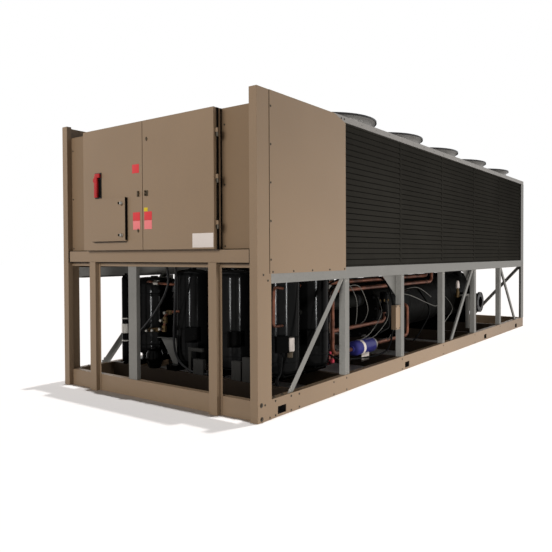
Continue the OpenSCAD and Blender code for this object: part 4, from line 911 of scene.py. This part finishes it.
# Evaporator: a long shell under black foam, taped at its seams, with bolted heads and two saddles.
# Flanged water nozzles stand out at both sides, their bores left open.
foam = enamel("black_foam", srgb(19, 19, 17), 0.6, 0.3, 0.0012, 0.08)
nozzle_steel = enamel("nozzle_paint", srgb(26, 26, 27), 0.35, 0.2, 0.0005, 0.25)
dim(folded("evaporator_saddles", 0.002, shell_black, slot="black_shell"))
dim(folded("water_nozzles", sheet_edge, nozzle_steel, slot="insulation"))
evap_x, evap_z, evap_r, head_r, head_t = 0.38, 0.585, 0.32, 0.335, 0.04
evap_front, evap_rear = (corner.y - front_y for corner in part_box("evaporator"))
foam_r, tape_half, evap_bays = evap_r - 0.002, 0.03, 7
head = [(head_r - 0.004, 0.0), (head_r, 0.004), (head_r, head_t - 0.003), (head_r - 0.003, head_t),
        (foam_r, head_t)]
drum = [(radius, evap_front + deep) for radius, deep in head]
for k in range(1, evap_bays):
    seam = evap_front + k * (evap_rear - evap_front) / evap_bays
    drum += [(foam_r, seam - tape_half), (evap_r, seam - tape_half + 0.002),
             (evap_r, seam + tape_half - 0.002), (foam_r, seam + tape_half)]
drum += [(radius, evap_rear - deep) for radius, deep in head[::-1]]
evaporator = bmesh.new()
turned(evaporator, drum, seat(at(evap_x, 0, evap_z), "X", -90), 64)
dim(settle("evaporator_drum", evaporator, foam, slot="insulation", replaces=("evaporator",), crease=40))
head_spots = [(at(evap_x + x, s, evap_z + z), way) for x, z in circle(16, 0.31)
              for s, way in ((evap_front, front_way), (evap_rear, rear_way))]
bolts("evaporator_bolts", head_spots, 0.01, 0.009, nozzle_steel)

# Suction pipes: wide lines in black foam from the evaporator to a header between the compressor rows.
# They are brazed copper inside; the foam is slid on and taped at its joints.
given = new_tree("bent_tubes", {"Radius": "Float", "Bend": "Float", "Around": "Int"})
route = given["Geometry"].node("GeometryNodeMeshToCurve", None, {"Mesh": given["Geometry"]})
route = route.node("GeometryNodeFilletCurve", {"mode": "POLY"}, {
    "Curve": route, "Count": 7, "Radius": given["Bend"], "Limit Radius": True})
tubes_tree = close_tree(given, drawn(route, given["Radius"], given["Around"]))


def tubes(name, routes, radius, finish, slot="copper", replaces=(), bend=3.0, around=12, tree=tubes_tree):
    """Bent tube along each route, whose points are distances as at() takes them, with rounded corners."""
    start = bpy.data.meshes.new("routes")
    places = [at(*p) for route in routes for p in route]
    links, first = [], 0
    for route in routes:
        links += [(first + i, first + i + 1) for i in range(len(route) - 1)]
        first += len(route)
    start.from_pydata(places, links, [])
    sizes = {"Radius": radius, "Bend": radius * bend, "Around": around}
    return grown(name, tree, start, sizes, finish, slot=slot, replaces=replaces)


suction_x, suction_s, suction_z, suction_r = 0.49, 1.01, 0.67, 0.07
header_ends, row_gap = (compressor_xs[0], compressor_xs[2]), (0.93, 1.09)
tubes("suction_main", [[(suction_x, suction_s, suction_z), (suction_x, evap_front + 0.002, suction_z)]],
      suction_r, foam, "insulation", ("suction_pipes",), around=24)
tubes("suction_header", [[(x, suction_s, suction_z) for x in header_ends]], 0.045, foam,
      "insulation", around=20)
tubes("suction_stubs", [[(x, s, suction_z) for s in row_gap] for x in compressor_xs], 0.025, foam,
      "insulation", around=16)
tape = bmesh.new()
for s in (1.3, 1.75, 2.2, 2.5):
    band(tape, suction_r + 0.0002, suction_r + 0.0022, s - 0.025, s + 0.025, 0.003,
         seat(at(suction_x, 0, suction_z), "X", -90), 24)
settle("suction_tape", tape, black_plastic, slot="black_plastic")


# Copper lines: hot gas to the coil headers, liquid from them, and the branches to the evaporator.
# Hard-drawn tube, brazed at its bends and sleeved where it is joined.
def aged_copper(name):
    """Bare tube, browned in clouds by the air."""
    made, shader, place = new_finish(name)
    bloom = noise(place, 9.0, 4.0).between(0.35, 0.7)
    fine = noise(place, 60.0, 3.0)
    place.into(shader, {
        "Base Color": bloom.blend(srgb(136, 86, 66), srgb(70, 46, 37)),
        "Roughness": fine * 0.2 + 0.24, "Metallic": 0.7, "Specular IOR Level": 0.3,
        "Normal": place.node("ShaderNodeBump", None, {"Strength": 0.15, "Distance": 0.0004, "Height": fine})})
    return made


copper, copper_r = aged_copper("aged_copper"), 0.021
gas_x, gas_z, gas_s, liquid_z, drop_s = 0.69, 0.9, 1.01, 0.828, 1.6
drier_front, drier_rear, drier_z, drier_r = 1.955, 2.425, 0.232, 0.075
riser_s, riser_top, gas_turn_s = 4.008, 1.062, 1.5
liquid_xs, branch_z, valve_branch, drier_branch = (0.75, -0.75), 0.45, 2.682, 3.28
copper_lines = [
    [(x, gas_s, gas_z) for x in header_ends],
    [(suction_x, gas_s, gas_z), (suction_x, gas_turn_s, gas_z), (gas_x, gas_turn_s, gas_z),
     (gas_x, riser_s, gas_z), (gas_x, riser_s, riser_top)]]
for x, wall_x in zip(liquid_xs, (0.7, 0.06)):
    copper_lines += [
        [(x, drier_front, drier_z), (x, drop_s, drier_z), (x, drop_s, liquid_z), (x, riser_s, liquid_z),
         (x, riser_s, riser_top)],
        [(x, drop_s, branch_z), (x, valve_branch, branch_z), (x, valve_branch, evap_z),
         (wall_x, valve_branch, evap_z)],
        [(x, drier_rear, drier_z), (x, drier_branch, drier_z), (x, drier_branch, evap_z),
         (wall_x, drier_branch, evap_z)]]
tubes("copper_lines", copper_lines, copper_r, copper, replaces=("copper_pipes",))
tubes("copper_stubs", [[(x, s, gas_z) for s in row_gap] for x in compressor_xs], 0.0168, copper)
joints = [(x, s, liquid_z, -90) for x in liquid_xs for s in (1.75, 2.9, 3.85)]
joints += [(gas_x, s, gas_z, -90) for s in (1.7, 2.7, 3.85)]
joints += [(x, drop_s, z, 0) for x in liquid_xs for z in (0.36, 0.52, 0.72)]
sleeves = bmesh.new()
for x, s, z, angle in joints:
    place = seat(at(x, s, z), "X", angle)
    band(sleeves, copper_r + 0.0002, copper_r + 0.002, -0.022, 0.022, 0.002, place, 16)
settle("copper_sleeves", sleeves, copper, slot="copper")

# Filter driers: spun blue canisters in the liquid lines, with a rolled rim where the cover is clamped.
# Each has a plain white band and a bare white tag held by adhesive.
blue = enamel("blue_canister", srgb(46, 46, 108), 0.36, 0.1)
canisters, bands, rims, tags = (bmesh.new() for k in range(4))
half_can = [(0.03, 0.0), (0.03, 0.02)]
half_can += [(0.045 + 0.03 * math.sin(a), 0.055 - 0.03 * math.cos(a)) for a in (0.0, 0.5, 1.0, 1.57)]
can = [(radius, drier_front + deep) for radius, deep in half_can]
can += [(radius, drier_rear - deep) for radius, deep in half_can[::-1]]
band_s, cover_s = 2.1, drier_rear - 0.055
for x in liquid_xs:
    place = seat(at(x, 0, drier_z), "X", -90)
    turned(canisters, can, place, 40)
    band(bands, drier_r + 0.0002, drier_r + 0.001, band_s - 0.006, band_s + 0.04, 0.001, place, 40)
    band(rims, drier_r, drier_r + 0.004, cover_s - 0.008, cover_s + 0.008, 0.002, place, 40)
    block(tags, at(x * 1.065, 2.08, drier_z - 0.135), at(x * 1.0675, 2.24, drier_z - 0.048), 0.0005)
settle("drier_canisters", canisters, blue, slot="blue_shell", replaces=("filter_driers",))
settle("drier_bands", bands, white_film, slot="blue_shell")
settle("drier_rims", rims, bright_zinc)
settle("drier_tags", tags, white_film, slot="blue_shell")

# Conduits and junction box: black sheathed lines to the compressors, and a small tan box on a side post.
# The box is folded sheet with a cover on four screws.
folded("conduits", 0.0008, black_plastic, slot="black_plastic", crease=50)
folded("junction_box", plate_edge, tan)
junction_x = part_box("junction_box")[1].x
cover_spots = [(at(junction_x, s, z), right_way) for s in (2.25, 2.326) for z in (0.432, 0.648)]
bolts("junction_screws", cover_spots, 0.005, 0.003, bolt_shade_paint, round_head)

# Suction risers: lines in black foam that leave the top of the evaporator and run forward to the second row.
# The water nozzles wear a sleeve of the same foam up to their flanges.
riser_z, riser_r, outlet_s, row_back, nozzle_s = 0.985, 0.055, 5.55, 1.405, 5.168
risers = [[(shell_x, row_back, riser_z), (shell_x, row_back + 0.16, riser_z),
           (run_x, row_back + 0.34, riser_z), (run_x, outlet_s, riser_z), (run_x, outlet_s, drop)]
          for shell_x, run_x, drop in ((0.74, 0.54, 0.84), (0.24, 0.32, 0.88), (-0.26, 0.12, 0.75))]
risers.append([(0.86, nozzle_s, 0.59), (0.86, nozzle_s, riser_z), (0.56, nozzle_s, riser_z)])
dim(tubes("suction_risers", risers, riser_r, foam, "insulation", around=20))
nozzle_foam, bore_r, foam_end = bmesh.new(), 0.0845, 0.935
for angle, s, first in ((90, nozzle_s, 0.66), (-90, 2.832, 0.02)):
    turned(nozzle_foam, [(bore_r, first), (0.125, first), (0.13, first + 0.01), (0.13, foam_end - 0.01),
                         (0.122, foam_end), (bore_r, foam_end)], seat(at(0, s, 0.5), "Y", angle), 32, True)
dim(settle("nozzle_foam", nozzle_foam, foam, slot="insulation"))

# Receiver valves: brass bodies with zinc caps on a copper line from the receiver to the first compressor.
# A plate bracket of galvanised steel carries the line.
brass = galvanised("brass", srgb(104, 86, 58), 0.36, 0.7, 120.0, 0.2)
zinc_plate = galvanised("bracket_zinc", srgb(92, 91, 88), 0.5, 0.5)
valve_s = 0.55
tubes("receiver_lines", [
    [(-0.625, 0.645, 0.474), (-0.575, valve_s, 0.474), (-0.4, valve_s, 0.49), (-0.385, valve_s, 0.62),
     (-0.33, valve_s, 0.655), (-0.27, 0.615, 0.66)],
    [(-0.68, 0.61, 0.92), (-0.62, 0.575, 0.925), (-0.47, 0.6, 0.905), (-0.35, 0.645, 0.9)]], 0.012, copper)
valves, caps = bmesh.new(), bmesh.new()
valve_body = [(0.017, -0.03), (0.021, -0.026), (0.021, 0.026), (0.017, 0.03)]
valve_cap = [(0.013, 0.042), (0.015, 0.045), (0.015, 0.062), (0.011, 0.066)]
for x, z, axis in ((-0.575, 0.474, "Y"), (-0.5, 0.482, "Y"), (-0.4, 0.5, "Z"), (-0.386, 0.58, "Z"),
                   (-0.335, 0.652, "Y")):
    stem_place = seat(at(x, valve_s, z), "X", 90)
    turned(valves, valve_body, seat(at(x, valve_s, z), axis, 90), 6)
    turned(valves, [(0.009, 0.0), (0.009, 0.045)], stem_place, 10)
    turned(caps, valve_cap, stem_place, 8)
turned(caps, [(0.02, -0.03), (0.024, -0.025), (0.024, 0.025), (0.02, 0.03)],
       seat(at(-0.54, 0.5885, 0.915), "Y", 90), 8)
settle("receiver_valves", valves, brass)
settle("valve_caps", caps, bright_zinc)
bracket = bmesh.new()
bracket_outline = ((-0.47, 0.42), (-0.27, 0.42), (-0.25, 0.19), (-0.31, 0.19), (-0.37, 0.28))
plate(bracket, [at(x, 0.572, z) for x, z in bracket_outline], rear_way, 0.004)
block(bracket, at(-0.47, 0.53, 0.416), at(-0.28, 0.575, 0.42), 0.001)
settle("valve_bracket", bracket, zinc_plate)

# Heater boxes: small grey moulded boxes on the base at the feet of the front compressors.
# A black oil pot of spun steel stands beside the valve bracket.
grey_box = enamel("grey_box", srgb(40, 39, 37), 0.5, 0.15, 0.0004, 0.1)
boxes, base_z = bmesh.new(), 0.14
for x0, x1, z1 in ((0.01, 0.128, 0.272), (0.445, 0.545, 0.3), (0.56, 0.66, 0.34)):
    block(boxes, at(x0, 0.5, base_z), at(x1, 0.545, z1), 0.006)
block(boxes, at(-0.06, 0.515, base_z), at(-0.03, 0.535, 0.345), 0.003)
block(boxes, at(-0.06, 0.51, 0.335), at(0.11, 0.54, 0.365), 0.006)
settle("heater_boxes", boxes, grey_box, slot="black_plastic")
pot, pot_x, pot_s = bmesh.new(), -0.5, 0.5225
turned(pot, [(0.05, base_z), (0.06, 0.15), (0.075, 0.2), (0.075, 0.27), (0.06, 0.3), (0.03, 0.312),
             (0.03, 0.33)], seat(at(pot_x, pot_s, 0)), 28)
dim(settle("oil_pot", pot, shell_black, slot="black_shell"))

# Small lines: a copper pressure loop, sheathed capillaries and black cables between the vessels and boxes.
# Each is bent by hand and fixed at both ends.
tubes("pressure_loop", [[(0.855, 0.665, 0.9), (0.935, 0.44, 0.92), (0.935, 0.43, 0.62), (0.85, 0.66, 0.6)]],
      0.011, copper)
given = new_tree("soft_lines", {"Radius": "Float", "Around": "Int"})
route = given["Geometry"].node("GeometryNodeMeshToCurve", None, {"Mesh": given["Geometry"]})
route = route.node("GeometryNodeCurveSplineType", {"spline_type": "CATMULL_ROM"}, {"Curve": route})
route = route.node("GeometryNodeSetSplineResolution", None, {"Geometry": route, "Resolution": 8})
lines_tree = close_tree(given, drawn(route, given["Radius"], given["Around"]))
pale_sheath = enamel("pale_sheath", srgb(112, 110, 104), 0.45, 0.1)
tubes("terminal_lead", [[(0.85, 0.65, 0.395), (0.87, 0.6, 0.24), (0.89, 0.53, 0.19), (0.9, 0.522, 0.141)]],
      0.012, shell_black, "black_plastic", around=10, tree=lines_tree)
capillaries = [
    [(0.75, 1.75, 0.85), (0.8, 1.82, 0.88), (0.86, 1.86, 0.75), (0.82, 1.95, 0.6), (0.75, 2.05, 0.47)],
    [(0.75, 1.8, 0.848), (0.84, 1.95, 0.86), (0.9, 2.02, 0.66), (0.82, 2.12, 0.52), (0.75, 2.15, 0.47)],
    [(0.69, 2.66, 0.7), (0.86, 2.4, 0.56), (0.84, 2.2, 0.38), (0.76, 2.1, 0.3)],
    [(0.68, 2.9, 0.66), (0.86, 2.55, 0.5), (0.84, 2.3, 0.34), (0.76, 2.2, 0.3)],
    [(0.66, 3.0, 0.73), (0.85, 3.1, 0.71), (0.86, 3.55, 0.6), (0.82, 4.0, 0.52), (0.7, 4.4, 0.58)],
    [(0.66, 3.3, 0.74), (0.82, 3.4, 0.78), (0.84, 3.75, 0.66), (0.7, 4.1, 0.62)],
    [(1.05, 2.3, 0.42), (0.96, 2.34, 0.3), (0.9, 2.44, 0.3), (0.78, 2.5, 0.26)],
    [(0.69, 4.6, 0.62), (0.8, 4.62, 0.45), (0.82, 4.3, 0.3), (0.75, 4.25, 0.14)]]
tubes("capillary_lines", capillaries, 0.0036, pale_sheath, "zinc", around=6, tree=lines_tree)
cables = [
    [(1.05, 2.29, 0.64), (0.98, 2.3, 0.86), (0.95, 2.1, 0.95), (0.95, 1.5, 0.96), (0.85, 1.36, 0.9)],
    [(1.05, 2.27, 0.42), (0.98, 2.27, 0.2), (0.9, 1.9, 0.17), (0.86, 1.5, 0.22), (0.8, 1.395, 0.3)],
    [(1.05, 2.31, 0.64), (0.97, 2.4, 0.8), (0.9, 2.9, 0.76), (0.66, 3.6, 0.75)],
    [(0.7, 2.72, 0.6), (0.85, 2.6, 0.42), (0.83, 2.45, 0.36), (0.76, 2.35, 0.3)],
    [(0.66, 3.8, 0.74), (0.85, 3.7, 0.5), (0.8, 3.55, 0.25), (0.75, 3.46, 0.14)]]
tubes("black_cables", cables, 0.009, shell_black, "black_plastic", around=8, tree=lines_tree)

# Line valves: expansion valves on the evaporator branches and a brass relief valve with a pale cap.
# A service valve of red brass with two red caps is brazed below a liquid line; a stay stiffens a side post.
bodies, trims, relief_cap = bmesh.new(), bmesh.new(), bmesh.new()
expansion_body = [(0.034, -0.04), (0.04, -0.034), (0.04, 0.05), (0.028, 0.06), (0.028, 0.085), (0.046, 0.09),
                  (0.046, 0.165), (0.04, 0.175)]
for x in liquid_xs:
    place = seat(at(x, valve_branch, evap_z))
    turned(bodies, expansion_body, place, 20)
    for dx, dy in circle(6, 0.048):
        turned(trims, [(0.007, -0.012), (0.007, 0.012)], place @ Matrix.Translation((dx, dy, 0.09)), 6)
relief = at(0.735, 5.0, evap_z)
turned(trims, [(0.014, -0.05), (0.014, 0.03)], seat(relief, "Y", 90), 12)
turned(trims, [(0.02, -0.02), (0.024, 0.0), (0.024, 0.06), (0.016, 0.075), (0.016, 0.11)], seat(relief), 8)
turned(relief_cap, [(0.022, 0.108), (0.026, 0.114), (0.026, 0.17), (0.02, 0.2), (0.012, 0.212)],
       seat(relief), 16)
dim(settle("expansion_valves", bodies, shell_black, slot="black_shell"))
settle("valve_trims", trims, brass)
settle("relief_cap", relief_cap, white_film)
service_x, service_s, service_z = liquid_xs[0], 1.48, 0.18
service_route = [(service_x, drop_s, drier_z), (service_x, drop_s, service_z), (service_x, 1.4, service_z)]
tubes("service_stub", [service_route], 0.016, copper, bend=1.5)
service, red_caps = bmesh.new(), bmesh.new()
half_body = [(0.032, 0.026), (0.026, 0.03), (0.026, 0.064), (0.022, 0.07)]
turned(service, [(radius, -deep) for radius, deep in half_body[::-1]] + half_body,
       seat(at(service_x, service_s, service_z), "X", -90), 8)
for s, tilt in ((1.54, 0), (service_s, 80)):
    place = seat(at(service_x, s, service_z), "Y", tilt)
    turned(service, [(0.012, 0.01), (0.012, 0.046)], place, 8)
    turned(red_caps, [(0.018, 0.042), (0.023, 0.048), (0.023, 0.08), (0.016, 0.088)], place, 12)
settle("service_valve", service, enamel("red_brass", srgb(150, 96, 86), 0.42, 0.25))
settle("service_caps", red_caps, enamel("red_cap", srgb(150, 46, 60), 0.45, 0.1), slot="red_plastic")
stay = bmesh.new()
block(stay, at(1.0, 4.33, 0.63), at(1.046, 4.58, 0.65), 0.002)
block(stay, at(1.0, 4.55, 0.2), at(1.046, 4.574, 0.65), 0.002)
settle("post_stay", stay, zinc_sheet, slot="galvanised")

# The plain view.
bpy.context.scene.view_settings.view_transform = "Standard"
